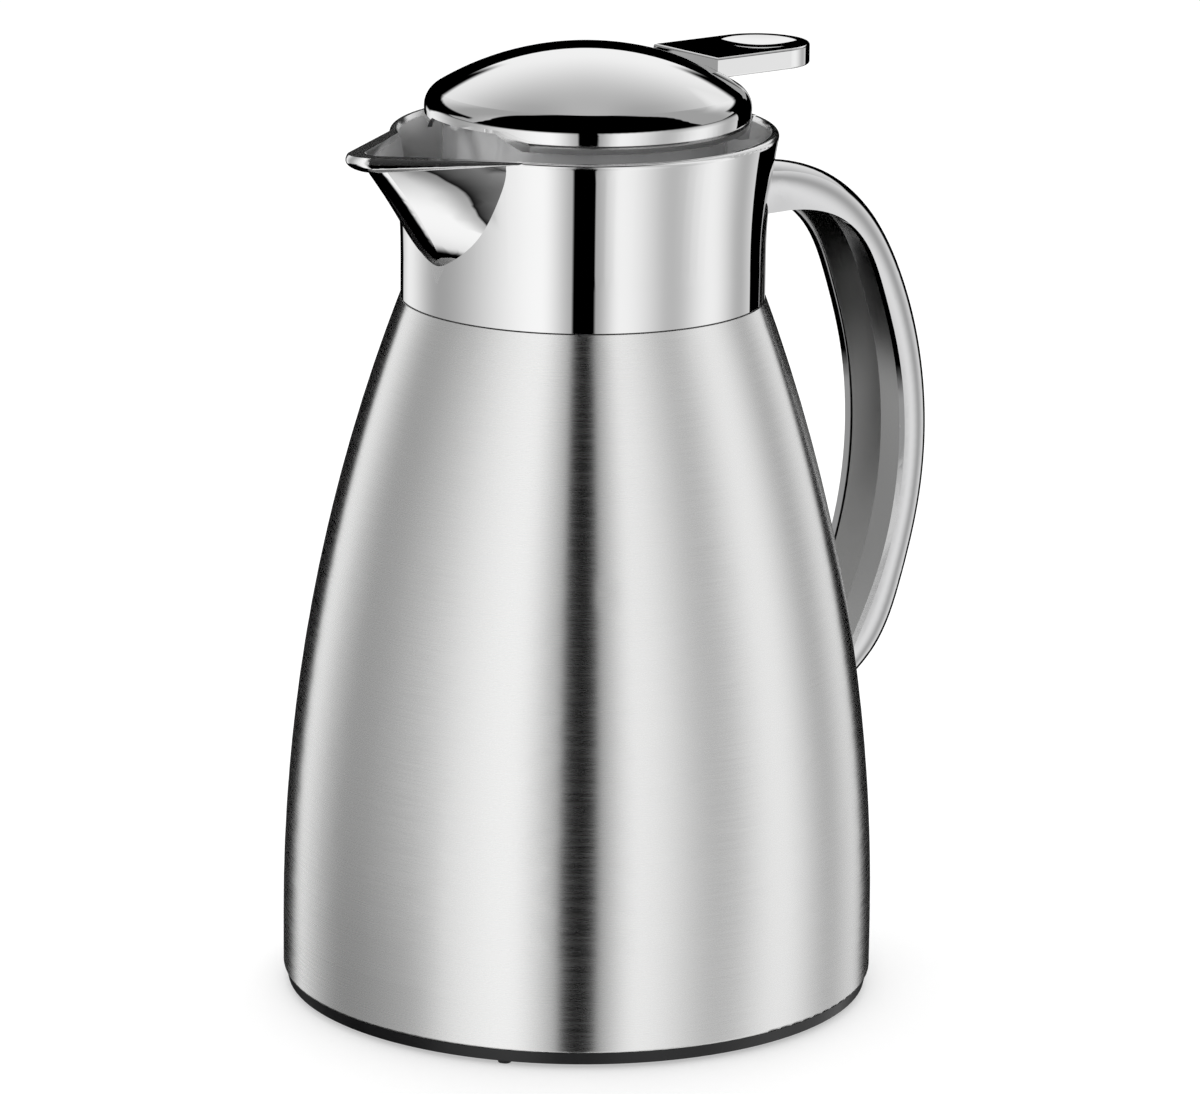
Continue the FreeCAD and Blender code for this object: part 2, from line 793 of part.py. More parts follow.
def add_ears(body):
    """The two hinge ears inside the collar's rear wall, bored for the pin."""
    low = d("PinZ") - d("EarRadius")
    high = d("PinZ") + d("EarRadius")
    outer = new_sketch(body, "EarSketch", "XZ_Plane")
    outline(outer, [
        (d("PinX"), high, d("EarRadius")),
        (d("PinX") - d("EarRadius"), d("PinZ"), d("EarRadius")),
        (d("PinX"), low),
        (d("EarRoot"), low),
        (d("EarRoot"), high),
    ])
    extrude(body, "Ears", outer, d("EarOuter") * 2, both=True)
    gap = new_sketch(body, "EarGapSketch", "XZ_Plane")
    reach = d("EarRadius") * 2
    inside = d("PinX") + d("KnuckleRadius") + d("Seam") * 2
    outline(gap, [
        (d("PinX") - reach, low - d("Seam")),
        (inside, low - d("Seam")),
        (inside, high + d("Seam")),
        (d("PinX") - reach, high + d("Seam")),
    ])
    extrude(body, "EarGap", gap, d("EarInner") * 2, cut=True, both=True)
    hole = new_sketch(body, "EarHoleSketch", "XZ_Plane")
    ring_at(hole, d("PinX"), d("PinZ"), d("PinRadius") + d("PinGrip"))
    extrude(body, "EarHole", hole, d("EarOuter") * 2 + d("Seam"), cut=True, both=True)
    return body


def add_screw_hole(body):
    """The clearance hole for the upper handle screw through the collar's rear wall."""
    sketch = new_sketch(body, "ScrewHoleSketch", "YZ_Plane")
    ring_at(sketch, ZERO, d("UpperScrewZ"), d("UpperScrewRadius") + d("Slip"))
    extrude(body, "ScrewHole", sketch, d("RimRadius") + d("CollarWall"), cut=True, flip=True)
    return body


def shoulder_gasket():
    body = new_body("shoulder_gasket")
    low = d("SeamHeight")
    high = low + d("GasketThick")
    outer = d("CollarRadius") - d("CollarWall") - d("Slip")
    revolve(body, "Gasket", [
        (d("FlangeBore"), low),
        (outer, low),
        (outer, high),
        (d("FlangeBore"), high),
    ])
    return body


def pour_ring():
    body = new_body("pour_ring")
    bore = d("NeckRadius") + d("Slip")
    low = d("FlangeTop")
    lip = d("MouthHeight")
    edge = d("CollarRadius") - d("CollarWall") - d("Slip")
    skirt = bore + d("RingSkirt")
    wall = d("FunnelWall")
    revolve(body, "Funnel", [
        (bore, low),
        (skirt, low),
        (skirt, lip - wall),
        (edge, lip + d("FunnelRise") - wall),
        (edge, lip + d("FunnelRise")),
        (bore, lip),
    ])
    return body


def hinge_pin():
    body = new_body("hinge_pin")
    sketch = new_sketch(body, "PinSketch", "XZ_Plane")
    ring_at(sketch, d("PinX"), d("PinZ"), d("PinRadius"))
    extrude(body, "Pin", sketch, d("EarOuter") * 2, both=True)
    return body


def handle_stations(body, name, section):
    """One section sketch at each station of the handle, its x towards the outer side of the handle."""
    sketches = []
    for i in STATIONS:
        place = (d("HandleX%d" % i), d("HandleZ%d" % i))
        sketch = new_sketch(
            body, "%s%d" % (name, i), "XY_Plane", place, -(d("HandleTilt%d" % i) + 90)
        )
        outline(sketch, section(d("HandleDeep%d" % i)))
        sketches.append(sketch)
    return sketches


def crown_arc(half, deep):
    """Radius of the arc from the side of a section, half wide, to its crown, deep above it."""
    return (half * half + deep * deep) / (deep * 2)


def trim_to_jug(body, clear):
    """Cuts a handle piece back from the collar and the body wall by a clearance."""
    low = d("SeamHeight")
    flare_top = d("RimHeight") - d("RimRound")
    revolve(body, "TrimCollar", [
        (ZERO, low),
        (d("CollarRadius") + clear, low),
        (d("CollarRadius") + clear, d("CollarFlareStart"), -(d("CollarFlareArc") - clear)),
        (collar_flare(flare_top) + clear, flare_top),
        (ZERO, flare_top),
    ], cut=True)
    top = d("TrimTop")
    revolve(body, "TrimBody", [
        (ZERO, d("BodyStraight")),
        (d("BodyRadius") + clear, d("BodyStraight"), body_arc() + clear),
        (body_arc_radius(top, -clear), top),
        (ZERO, top),
    ], cut=True)


def handle_shell():
    body = new_body("handle_shell")
    half = d("HandleHalf")
    inner = half - d("HandleWall")

    def section(deep):
        hollow = deep - d("HandleWall")
        return [
            (ZERO, -half, crown_arc(half, deep)),
            (deep, ZERO, crown_arc(half, deep)),
            (ZERO, half),
            (ZERO, inner, -crown_arc(inner, hollow)),
            (hollow, ZERO, -crown_arc(inner, hollow)),
            (ZERO, -inner),
        ]

    loft(body, "Shell", handle_stations(body, "ShellSection", section))
    trim_to_jug(body, d("Slip"))
    return body


def handle_inlay():
    body = new_body("handle_inlay")
    half = d("HandleHalf") - d("HandleWall") - d("Seam")
    back = half - d("InlayTaper")
    face = d("InlaySet")

    def section(deep):
        return [
            (face, -half),
            (d("InlayBack"), -back),
            (d("InlayBack"), back),
            (face, half),
            (face + d("InlayCrease"), ZERO),
        ]

    loft(body, "Strip", handle_stations(body, "StripSection", section))
    trim_to_jug(body, d("Slip") * 2)
    sketch = lower_screw_sketch(body, "SinkSketch", face + d("InlayCrease") + d("Slip"))
    ring_at(sketch, ZERO, ZERO, d("LowerScrewHead") + d("Slip"))
    extrude(body, "Sink", sketch, d("LowerScrewHeadHigh") * 2, cut=True)
    bore = lower_screw_sketch(body, "BoreSketch", d("InlayBack") + d("Slip"))
    ring_at(bore, ZERO, ZERO, d("LowerScrewRadius") + d("Slip"))
    extrude(body, "Bore", bore, d("InlayBack") * 2, cut=True)
    return body


def bracket_point(along, above):
    """A point in the bracket's own directions: along the handle, and above its inner side."""
    tilt = d("BracketTilt")
    x = d("BracketX") + tilt.cosine() * along - tilt.sine() * above
    z = d("BracketZ") + tilt.sine() * along + tilt.cosine() * above
    return x, z


def lower_screw_sketch(body, name, above):
    """A sketch square to the lower handle screw, at a height above the inner side of the handle."""
    place = bracket_point(ZERO, above)
    return new_sketch(body, name, "XY_Plane", place, -d("BracketTilt"))


def handle_anchor():
    body = new_body("handle_anchor")
    sketch = new_sketch(body, "BlockSketch", "XZ_Plane")
    start = d("CollarRadius") - d("CollarWall")
    outline(sketch, [
        (start, d("AnchorLow")),
        (d("AnchorEnd"), d("AnchorLow")),
        (d("AnchorEnd"), d("AnchorHigh")),
        (start, d("AnchorHigh")),
    ])
    extrude(body, "Block", sketch, d("AnchorHalf") * 2, both=True)
    trim_to_jug(body, d("Slip"))
    hole = new_sketch(body, "TapSketch", "YZ_Plane")
    ring_at(hole, ZERO, d("UpperScrewZ"), d("UpperScrewRadius") + d("PinGrip"))
    extrude(body, "Tap", hole, d("UpperScrewEnd") + d("Slip"), cut=True, flip=True)
    return body


def handle_upper_screw():
    body = new_body("handle_upper_screw")
    seat = d("CollarRadius") - d("CollarWall")
    back = seat - d("UpperScrewHeadHigh")
    spin(body, "Screw", (ZERO, d("UpperScrewZ")), None, [
        (back, ZERO),
        (d("UpperScrewEnd"), ZERO),
        (d("UpperScrewEnd"), d("UpperScrewRadius")),
        (seat, d("UpperScrewRadius")),
        (seat, d("UpperScrewHead")),
        (back, d("UpperScrewHead")),
    ])
    return body


def handle_bracket():
    body = new_body("handle_bracket")
    sketch = new_sketch(body, "BlockSketch", "XZ_Plane")
    back = -d("BracketBack")
    outline(sketch, [
        bracket_point(back, d("BracketLow")),
        bracket_point(d("BracketReach"), d("BracketLow")),
        bracket_point(d("BracketReach"), d("BracketHigh")),
        bracket_point(back, d("BracketHigh")),
    ])
    extrude(body, "Block", sketch, d("BracketHalf") * 2, both=True)
    trim_to_jug(body, d("PinGrip"))
    tap = lower_screw_sketch(body, "TapSketch", d("LowerScrewEnd") + d("Slip"))
    ring_at(tap, ZERO, ZERO, d("LowerScrewRadius") + d("PinGrip"))
    extrude(body, "Tap", tap, d("LowerScrewEnd"), cut=True)
    return body


def handle_lower_screw():
    body = new_body("handle_lower_screw")
    seat = d("InlaySet") + d("InlayCrease") + d("Slip")
    front = seat - d("LowerScrewHeadHigh")
    spin(body, "Screw", bracket_point(ZERO, ZERO), -(d("BracketTilt") + 90), [
        (front, ZERO),
        (d("LowerScrewEnd"), ZERO),
        (d("LowerScrewEnd"), d("LowerScrewRadius")),
        (seat, d("LowerScrewRadius")),
        (seat, d("LowerScrewHead")),
        (front, d("LowerScrewHead")),
    ])
    return body


def dome_arc():
    """Radius of the dome's crown, which runs tangent into its shoulder, and the height of its centre."""
    shoulder = d("DomeShoulder")
    crown = d("DomeApex") - d("DomeEquator")
    reach = d("DomeRadius") - shoulder
    arc = (crown * crown + reach * reach - shoulder * shoulder) / ((crown - shoulder) * 2)
    return arc, d("DomeApex") - arc


def dome_profile(offset):
    """The dome's profile from its skirt edge to its apex, moved outwards by an offset."""
    wide = d("DomeRadius")
    shoulder = d("DomeShoulder")
    arc, centre = dome_arc()
    share = (arc + offset) / (arc - shoulder)
    tuck = wide - d("SkirtRadius")
    drop = d("DomeEquator") - d("SkirtHeight")
    skirt = (tuck * tuck + drop * drop) / (tuck * 2)
    return [
        (d("SkirtRadius") + offset, d("SkirtHeight"), skirt + offset),
        (wide + offset, d("DomeEquator"), shoulder + offset),
        ((wide - shoulder) * share, centre + (d("DomeEquator") - centre) * share, arc + offset),
        (ZERO, d("DomeApex") + offset),
    ]


def lid_dome():
    body = new_body("lid_dome")
    outer = dome_profile(ZERO)
    inner = dome_profile(-d("DomeWall"))
    bends = [corner[2] for corner in inner[:3]]
    inside = [inner[3] + (-bends[2],), inner[2][:2] + (-bends[1],), inner[1][:2] + (-bends[0],), inner[0][:2]]
    revolve(body, "Shell", outer + inside, shift=(d("DomeShift"), ZERO))
    notch = new_sketch(body, "NotchSketch", "YZ_Plane")
    below = d("SkirtHeight") - d("DomeWall")
    outline(notch, [
        (-d("NotchSpread"), below),
        (d("NotchSpread"), below),
        (d("NotchHalf"), d("NotchTop")),
        (-d("NotchHalf"), d("NotchTop")),
    ])
    extrude(body, "Notch", notch, d("DomeRadius") + d("DomeWall"), cut=True)
    boss = new_sketch(body, "BossSketch", "XY_Plane", (ZERO, d("DeckTop")))
    ring_at(boss, d("LidScrewPitch"), ZERO, d("BossRadius"))
    ring_at(boss, d("LidScrewPitch"), ZERO, d("LidScrewRadius") + d("PinGrip"))
    arc, centre = dome_arc()
    middle = arc - d("DomeWall") / 2
    reach = d("LidScrewPitch") + d("DomeShift") + d("BossRadius") / 2
    top = centre + (middle * middle - reach * reach).root()
    first = extrude(body, "Boss", boss, top - d("DeckTop"))
    polar(body, "Bosses", first, d("ScrewCount"))
    holes = new_sketch(body, "LeverHoleSketch", "XY_Plane", (ZERO, d("LeverTop")))
    for side in (d("LeverScrewY"), -d("LeverScrewY")):
        ring_at(holes, d("LeverScrewX"), side, d("LeverScrewRadius") + d("Slip"))
    extrude(body, "LeverHoles", holes, d("LeverTop") - d("DomeEquator"), cut=True)
    return body


def lid_core():
    body = new_body("lid_core")
    bore = d("StemRadius") + d("PinRun")
    deck = d("DeckTop") - d("DeckThick")
    inner = d("CoreRadius") - d("CoreWall")
    revolve(body, "Core", [
        (bore, d("BushBottom")),
        (d("BushRadius"), d("BushBottom")),
        (d("BushRadius"), deck),
        (inner, deck),
        (inner, d("CoreBottom")),
        (d("CoreRadius"), d("CoreBottom")),
        (d("CoreRadius"), d("DeckTop")),
        (bore, d("DeckTop")),
    ])
    low = d("PinZ") - d("KnuckleRadius")
    high = d("PinZ") + d("KnuckleRadius")
    root = d("CoreRadius") - d("CoreWall") / 2
    knuckle = new_sketch(body, "KnuckleSketch", "XZ_Plane")
    outline(knuckle, [
        (root, low),
        (d("PinX"), low, d("KnuckleRadius")),
        (d("PinX") + d("KnuckleRadius"), d("PinZ"), d("KnuckleRadius")),
        (d("PinX"), high),
        (root, high),
    ])
    extrude(body, "Knuckle", knuckle, d("KnuckleHalf") * 2, both=True)
    pin = new_sketch(body, "PinBoreSketch", "XZ_Plane")
    ring_at(pin, d("PinX"), d("PinZ"), d("PinRadius") + d("PinRun"))
    extrude(body, "PinBore", pin, d("EarOuter") * 2, cut=True, both=True)
    hole = new_sketch(body, "DeckHoleSketch", "XY_Plane", (ZERO, d("DeckTop")))
    ring_at(hole, d("LidScrewPitch"), ZERO, d("LidScrewRadius") + d("Slip"))
    first = extrude(body, "DeckHole", hole, d("DeckThick"), cut=True)
    polar(body, "DeckHoles", first, d("ScrewCount"))
    return body


def lid_screws():
    body = new_body("lid_screws")
    seat = d("DeckTop") - d("DeckThick")
    low = seat - d("LidScrewHeadHigh")
    top = d("DeckTop") + d("LidScrewLong")
    first = revolve(body, "Screw", [
        (ZERO, low),
        (d("LidScrewHead"), low),
        (d("LidScrewHead"), seat),
        (d("LidScrewRadius"), seat),
        (d("LidScrewRadius"), top),
        (ZERO, top),
    ], shift=(d("LidScrewPitch"), ZERO))
    polar(body, "Screws", first, d("ScrewCount"))
    return body


def thumb_lever():
    body = new_body("thumb_lever")
    under = d("LeverTop") - d("LeverThick")
    half = d("LeverHalf")
    plate = new_sketch(body, "PlateSketch", "XY_Plane", (ZERO, under))
    outline(plate, [
        (d("LeverFront"), -half),
        (d("LeverRound"), -half, half),
        (d("LeverRound") + half, ZERO, half),
        (d("LeverRound"), half),
        (d("LeverFront"), half),
    ])
    extrude(body, "Plate", plate, d("LeverThick"))
    levels = (under.number, d("LeverTop").number)
    soften(body, "PlateEdges", d("LeverEdge"), lambda edge: any(
        all(abs(v.Z - level) < 1e-6 for v in edge.Vertexes) for level in levels
    ))
    seat = [(ZERO, d("SkirtHeight"))] + dome_profile(d("PinGrip"))
    revolve(body, "Seat", seat, cut=True, shift=(d("DomeShift"), ZERO))
    top = d("LeverTop")
    dish = d("DishRadius")
    deep = d("DishDeep")
    revolve(body, "Dish", [
        (ZERO, top - deep, (dish * dish + deep * deep) / (deep * 2)),
        (dish, top),
        (dish, top + deep),
        (ZERO, top + deep),
    ], cut=True, shift=(d("LeverRound"), ZERO))
    holes = new_sketch(body, "TapSketch", "XY_Plane", (ZERO, d("LeverScrewTop") + d("Slip")))
    for side in (d("LeverScrewY"), -d("LeverScrewY")):
        ring_at(holes, d("LeverScrewX"), side, d("LeverScrewRadius") + d("PinGrip"))
    extrude(body, "Taps", holes, d("LeverScrewTop") - d("DomeEquator"), cut=True)
    return body


def lever_screws():
    body = new_body("lever_screws")
    seat = d("LeverScrewHeadTop")
    low = seat - d("LeverScrewHeadHigh")
    first = revolve(body, "Screw", [
        (ZERO, low),
        (d("LeverScrewHead"), low),
        (d("LeverScrewHead"), seat),
        (d("LeverScrewRadius"), seat),
        (d("LeverScrewRadius"), d("LeverScrewTop")),
        (ZERO, d("LeverScrewTop")),
    ], shift=(d("LeverScrewX"), d("LeverScrewY")))
    mirror(body, "Screws", first)
    return body


def seal_plate():
    body = new_body("seal_plate")
    top = d("PlateBottom") + d("PlateThick")
    groove_top = d("ClipZ") + d("ClipThick")
    revolve(body, "Plate", [
        (ZERO, d("PlateBottom")),
        (d("PlateRadius"), d("PlateBottom")),
        (d("PlateRadius"), top),
        (d("StemRadius"), top),
        (d("StemRadius"), d("ClipZ")),
        (d("ClipNeck"), d("ClipZ")),
        (d("ClipNeck"), groove_top),
        (d("StemRadius"), groove_top),
        (d("StemRadius"), d("StemTop")),
        (ZERO, d("StemTop")),
    ])
    return body


def seal_clip():
    body = new_body("seal_clip")
    revolve(body, "Clip", [
        (d("ClipNeck") + d("PinRun"), d("ClipZ")),
        (d("ClipRadius"), d("ClipZ")),
        (d("ClipRadius"), d("ClipZ") + d("ClipThick") - d("PinRun")),
        (d("ClipNeck") + d("PinRun"), d("ClipZ") + d("ClipThick") - d("PinRun")),
    ])
    return body


def seal_gasket():
    body = new_body("seal_gasket")
    bead = d("MouthHeight") + d("BeadLift")
    revolve(body, "Gasket", [
        (d("GasketBore"), d("GasketBottom")),
        (d("BeadInner"), d("GasketBottom")),
        (d("BeadInner"), bead),
        (d("BeadOuter"), bead),
        (d("BeadOuter"), d("GasketBottom")),
        (d("GasketRadius"), d("GasketBottom")),
        (d("GasketRadius"), d("PlateBottom")),
        (d("GasketBore"), d("PlateBottom")),
    ])
    return body


def leaving_arc(start, heading, end):
    """The arc that leaves start along heading and reaches end."""
    chord = end.sub(start)
    side = chord.sub(FreeCAD.Vector(heading).multiply(chord.dot(heading))).normalize()
    radius = chord.dot(chord) / (2 * chord.dot(side))
    centre = start.add(FreeCAD.Vector(side).multiply(radius))
    out = start.add(end).multiply(0.5).sub(centre).normalize()
    return Part.Arc(start, centre.add(out.multiply(radius)), end).toShape()


def seal_spring():
    """A coil of round wire, drawn along a helix of smooth pairs of arcs, four pairs to the turn."""
    size = {name: d(name).number for name in ("SpringRadius", "SpringWire", "SpringTurns", "SpringEnd")}
    inset = size["SpringEnd"] + size["SpringWire"]
    low = d("PlateBottom").number + d("PlateThick").number + inset
    high = d("DeckTop").number - d("DeckThick").number - inset
    pitch = (high - low) / size["SpringTurns"]
    slope = pitch / (2 * math.pi)

    def on_helix(angle):
        turn = FreeCAD.Vector(math.cos(angle), math.sin(angle), 0)
        spot = FreeCAD.Vector(turn).multiply(size["SpringRadius"])
        spot.z = low + slope * angle
        heading = FreeCAD.Vector(-turn.y * size["SpringRadius"], turn.x * size["SpringRadius"], slope)
        return spot, heading.normalize()

    edges = []
    for step in range(4 * int(size["SpringTurns"])):
        a, along_a = on_helix(step * math.pi / 2)
        b, along_b = on_helix((step + 1) * math.pi / 2)
        span = b.sub(a)
        spread = 1 - along_a.dot(along_b)
        pull = span.dot(along_a.add(along_b))
        reach = (math.sqrt(pull * pull + 2 * spread * span.dot(span)) - pull) / (2 * spread)
        near = a.add(FreeCAD.Vector(along_a).multiply(reach))
        far = b.sub(FreeCAD.Vector(along_b).multiply(reach))
        joint = near.add(far).multiply(0.5)
        edges.append(leaving_arc(a, along_a, joint))
        edges.append(leaving_arc(joint, joint.sub(near).normalize(), b))
    start, heading = on_helix(0)
    ring = Part.Wire([Part.Circle(start, heading, size["SpringWire"]).toShape()])
    coil = doc.addObject("Part::Feature", "seal_spring")
    coil.Label = "seal_spring"
    coil.Shape = Part.Wire(edges).makePipeShell([ring], True, False)
    coil.Placement = FreeCAD.Placement()
    print("seal_spring least gap between turns: %.2f" % (pitch - 2 * size["SpringWire"]))
    return coil


PARTS = [
    outer_shell(),
    inner_flask(),
    vacuum_floor(),
    getter(),
    base_plate(),
    foot_ring(),
    add_screw_hole(add_ears(collar_body())),
    shoulder_gasket(),
    pour_ring(),
    hinge_pin(),
    handle_shell(),
    handle_inlay(),
    handle_anchor(),
    handle_upper_screw(),
    handle_bracket(),
    handle_lower_screw(),
    lid_dome(),
    lid_core(),
    lid_screws(),
    thumb_lever(),
    lever_screws(),
    seal_plate(),
    seal_clip(),
    seal_gasket(),
    seal_spring(),
]

doc.recompute()
os.makedirs("parts", exist_ok=True)
for piece in doc.Objects:
    if "Invalid" in piece.State or "Error" in piece.State:
        raise RuntimeError("%s did not build: %s" % (piece.Name, piece.State))
for piece in PARTS:
    if piece.Shape.isNull() or not piece.Shape.isValid():
        raise RuntimeError("%s has no valid shape" % piece.Label)
    print(piece.Label, len(piece.Shape.Solids), round(piece.Shape.Volume, 1))
    piece.Shape.exportStep("parts/%s.step" % piece.Label)
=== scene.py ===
"""Thermal jug in a white studio: its finishes, a foot ring and a spring, panels, floor, lamp and camera."""

import logging
import math
from collections.abc import Callable
from dataclasses import dataclass, field
from enum import Enum

import bmesh
import bpy
from mathutils import Matrix, Vector


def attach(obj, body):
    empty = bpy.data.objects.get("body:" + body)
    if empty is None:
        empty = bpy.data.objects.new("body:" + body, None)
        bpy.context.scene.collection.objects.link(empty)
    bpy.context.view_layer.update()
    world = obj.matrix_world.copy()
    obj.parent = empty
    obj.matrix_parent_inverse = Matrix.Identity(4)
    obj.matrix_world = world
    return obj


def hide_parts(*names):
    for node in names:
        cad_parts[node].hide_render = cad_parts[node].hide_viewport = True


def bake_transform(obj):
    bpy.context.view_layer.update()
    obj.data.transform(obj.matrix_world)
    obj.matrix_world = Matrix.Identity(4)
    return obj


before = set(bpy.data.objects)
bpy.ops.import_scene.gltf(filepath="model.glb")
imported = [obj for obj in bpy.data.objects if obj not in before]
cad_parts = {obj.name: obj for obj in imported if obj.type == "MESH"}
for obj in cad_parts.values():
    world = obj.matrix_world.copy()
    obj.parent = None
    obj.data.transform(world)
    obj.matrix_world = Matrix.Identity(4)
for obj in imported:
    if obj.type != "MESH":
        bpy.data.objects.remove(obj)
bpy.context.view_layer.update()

LOG = logging.getLogger("thermal_jug")
IMAGE_WIDTH = 1200
CAMERA_SIDE = 38.0
NOISE_RANGE = (0.3, 0.7)
FACES_STRAIGHT = 0.9
MERGE_WITHIN = 0.000002
SHARP_EDGE = math.radians(40.0)
SMOOTH_BELOW = math.radians(35.0)


class Body(Enum):
    """The moving bodies of the jug."""

    JUG = "jug"
    LID = "lid"
    SEAL = "seal"


class Grain(Enum):
    """The way that brushing runs on a metal."""

    AROUND = "around"
    ALONG_Z = "along_z"


class Tree:
    """A node tree with short calls for the nodes that the finishes use."""

    def __init__(self, tree: bpy.types.NodeTree) -> None:
        """Empties a node tree.

        Args:
            tree: The node tree of a material or a world.
        """
        self.tree = tree
        tree.nodes.clear()

    def add(self, kind: str, **values: object) -> bpy.types.Node:
        """Adds a node.

        Args:
            kind: Blender's name of the node type.
            **values: Properties of the node, by name.

        Returns:
            The new node.
        """
        node = self.tree.nodes.new(kind)
        for name, value in values.items():
            setattr(node, name, value)
        return node

    def join(self, output: bpy.types.NodeSocket, target: bpy.types.NodeSocket) -> None:
        """Links an output to an input."""
        self.tree.links.new(output, target)

    def feed(self, target: bpy.types.NodeSocket, value: "bpy.types.NodeSocket | float") -> None:
        """Links a socket to an input, or sets the input to a number.

        Args:
            target: The input.
            value: An output socket or a number.
        """
        if isinstance(value, bpy.types.NodeSocket):
            self.join(value, target)
        else:
            target.default_value = value

    def math(self, operation: str, *inputs: "bpy.types.NodeSocket | float") -> bpy.types.NodeSocket:
        """Adds a Math node.

        Args:
            operation: The node's operation.
            *inputs: Its inputs, sockets or numbers.

        Returns:
            The node's result.
        """
        node = self.add("ShaderNodeMath", operation=operation)
        for target, value in zip(node.inputs, inputs):
            self.feed(target, value)
        return node.outputs[0]

    def ramp(self, value: bpy.types.NodeSocket, low: float, high: float, start: float, end: float,
             smooth: bool = True) -> bpy.types.NodeSocket:
        """Maps a value from one range to another, held at both ends.

        Args:
            value: The value that is mapped.
            low: Where the ramp begins.
            high: Where the ramp ends.
            start: The result at the beginning.
            end: The result at the end.
            smooth: Whether the ramp eases in and out.

        Returns:
            The mapped value.
        """
        node = self.add("ShaderNodeMapRange", interpolation_type="SMOOTHSTEP" if smooth else "LINEAR")
        self.join(value, node.inputs["Value"])
        for name, number in (("From Min", low), ("From Max", high), ("To Min", start), ("To Max", end)):
            node.inputs[name].default_value = number
        return node.outputs["Result"]

    def noise(self, scale: tuple[float, float, float], detail: float) -> bpy.types.NodeSocket:
        """Adds noise on the object's own coordinates.

        Args:
            scale: How fine the noise is along X, Y and Z, in waves to the metre.
            detail: The noise's detail.

        Returns:
            The noise, from 0 to 1.
        """
        place = self.add("ShaderNodeTexCoord")
        mapping = self.add("ShaderNodeMapping")
        mapping.inputs["Scale"].default_value = scale
        self.join(place.outputs["Object"], mapping.inputs["Vector"])
        node = self.add("ShaderNodeTexNoise")
        node.inputs["Scale"].default_value = 1.0
        node.inputs["Detail"].default_value = detail
        self.join(mapping.outputs["Vector"], node.inputs["Vector"])
        return node.outputs["Fac"]


@dataclass(frozen=True)
class Finish:
    """What all finishes share: a name, a colour and how rough they are."""

    name: str
    colour: tuple[float, float, float]
    roughness: float
    metallic: float = 0.0

    def shader(self) -> tuple[bpy.types.Material, Tree, bpy.types.Node]:
        """Starts the material of this finish.

        Returns:
            The material, its node tree and its main shader.
        """
        material = bpy.data.materials.new(self.name)
        material.use_nodes = True
        tree = Tree(material.node_tree)
        shader = tree.add("ShaderNodeBsdfPrincipled")
        shader.inputs["Base Color"].default_value = (*self.colour, 1.0)
        shader.inputs["Roughness"].default_value = self.roughness
        shader.inputs["Metallic"].default_value = self.metallic
        output = tree.add("ShaderNodeOutputMaterial")
        tree.join(shader.outputs["BSDF"], output.inputs["Surface"])
        return material, tree, shader

    def tint(self, tree: Tree, shader: bpy.types.Node, value: bpy.types.NodeSocket, spread: float) -> None:
        """Lets the colour of the finish vary a little with a value.

        Args:
            tree: The node tree.
            shader: The main shader.
            value: What the colour follows, from 0 to 1.
            spread: How much lighter and darker the colour gets.
        """
        mix = tree.add("ShaderNodeMix", data_type="RGBA")
        mix.inputs["A"].default_value = (*(c * (1.0 - spread) for c in self.colour), 1.0)
        mix.inputs["B"].default_value = (*(min(c * (1.0 + spread), 1.0) for c in self.colour), 1.0)
        tree.join(value, mix.inputs["Factor"])
        tree.join(mix.outputs["Result"], shader.inputs["Base Color"])

    def bump(self, tree: Tree, shader: bpy.types.Node, value: bpy.types.NodeSocket, depth: float) -> None:
        """Raises the surface a little by a value.

        Args:
            tree: The node tree.
            shader: The main shader.
            value: The height, from 0 to 1.
            depth: The height in metres that 1 stands for.
        """
        bump = tree.add("ShaderNodeBump")
        bump.inputs["Strength"].default_value = 1.0
        bump.inputs["Distance"].default_value = depth
        tree.join(value, bump.inputs["Height"])
        tree.join(bump.outputs["Normal"], shader.inputs["Normal"])


@dataclass(frozen=True)
class BrushedMetal(Finish):
    """Metal with fine brushing that runs one way."""

    grain: Grain = Grain.AROUND
    fine: float = 2300.0
    run: float = 80.0
    spread: float = 0.06
    streak: float = 0.06
    stretch: float = 0.85
    stretch_turn: float = 0.25
    detail: float = 3.0

    def material(self) -> bpy.types.Material:
        """Returns the material of this finish."""
        material, tree, shader = self.shader()
        scale = {
            Grain.AROUND: (self.run, self.run, self.fine),
            Grain.ALONG_Z: (self.fine, self.fine, self.run),
        }[self.grain]
        lines = tree.noise(scale, self.detail)
        self.tint(tree, shader, lines, self.spread)
        rough = tree.ramp(
            lines, *NOISE_RANGE, self.roughness - self.streak, self.roughness + self.streak, False
        )
        tree.join(rough, shader.inputs["Roughness"])
        if self.grain is Grain.AROUND:
            shader.inputs["Anisotropic"].default_value = self.stretch
            shader.inputs["Anisotropic Rotation"].default_value = self.stretch_turn
            tangent = tree.add("ShaderNodeTangent", direction_type="RADIAL", axis="Z")
            tree.join(tangent.outputs["Tangent"], shader.inputs["Tangent"])
        return material


@dataclass(frozen=True)
class PolishedMetal(Finish):
    """Metal with a mirror polish and a trace of wiping."""

    haze: float = 0.02
    wiping: tuple[float, float, float] = (30.0, 30.0, 55.0)
    wiping_detail: float = 4.0
    wiping_range: tuple[float, float] = (0.35, 0.75)
    spread: float = 0.012

    def material(self) -> bpy.types.Material:
        """Returns the material of this finish."""
        material, tree, shader = self.shader()
        wiping = tree.noise(self.wiping, self.wiping_detail)
        rough = tree.ramp(wiping, *self.wiping_range, self.roughness, self.roughness + self.haze)
        tree.join(self.lined(tree, rough), shader.inputs["Roughness"])
        self.tint(tree, shader, wiping, self.spread)
        return material

    def lined(self, tree: Tree, rough: bpy.types.NodeSocket) -> bpy.types.NodeSocket:
        """Returns the roughness of the whole piece, which is the polish alone."""
        return rough


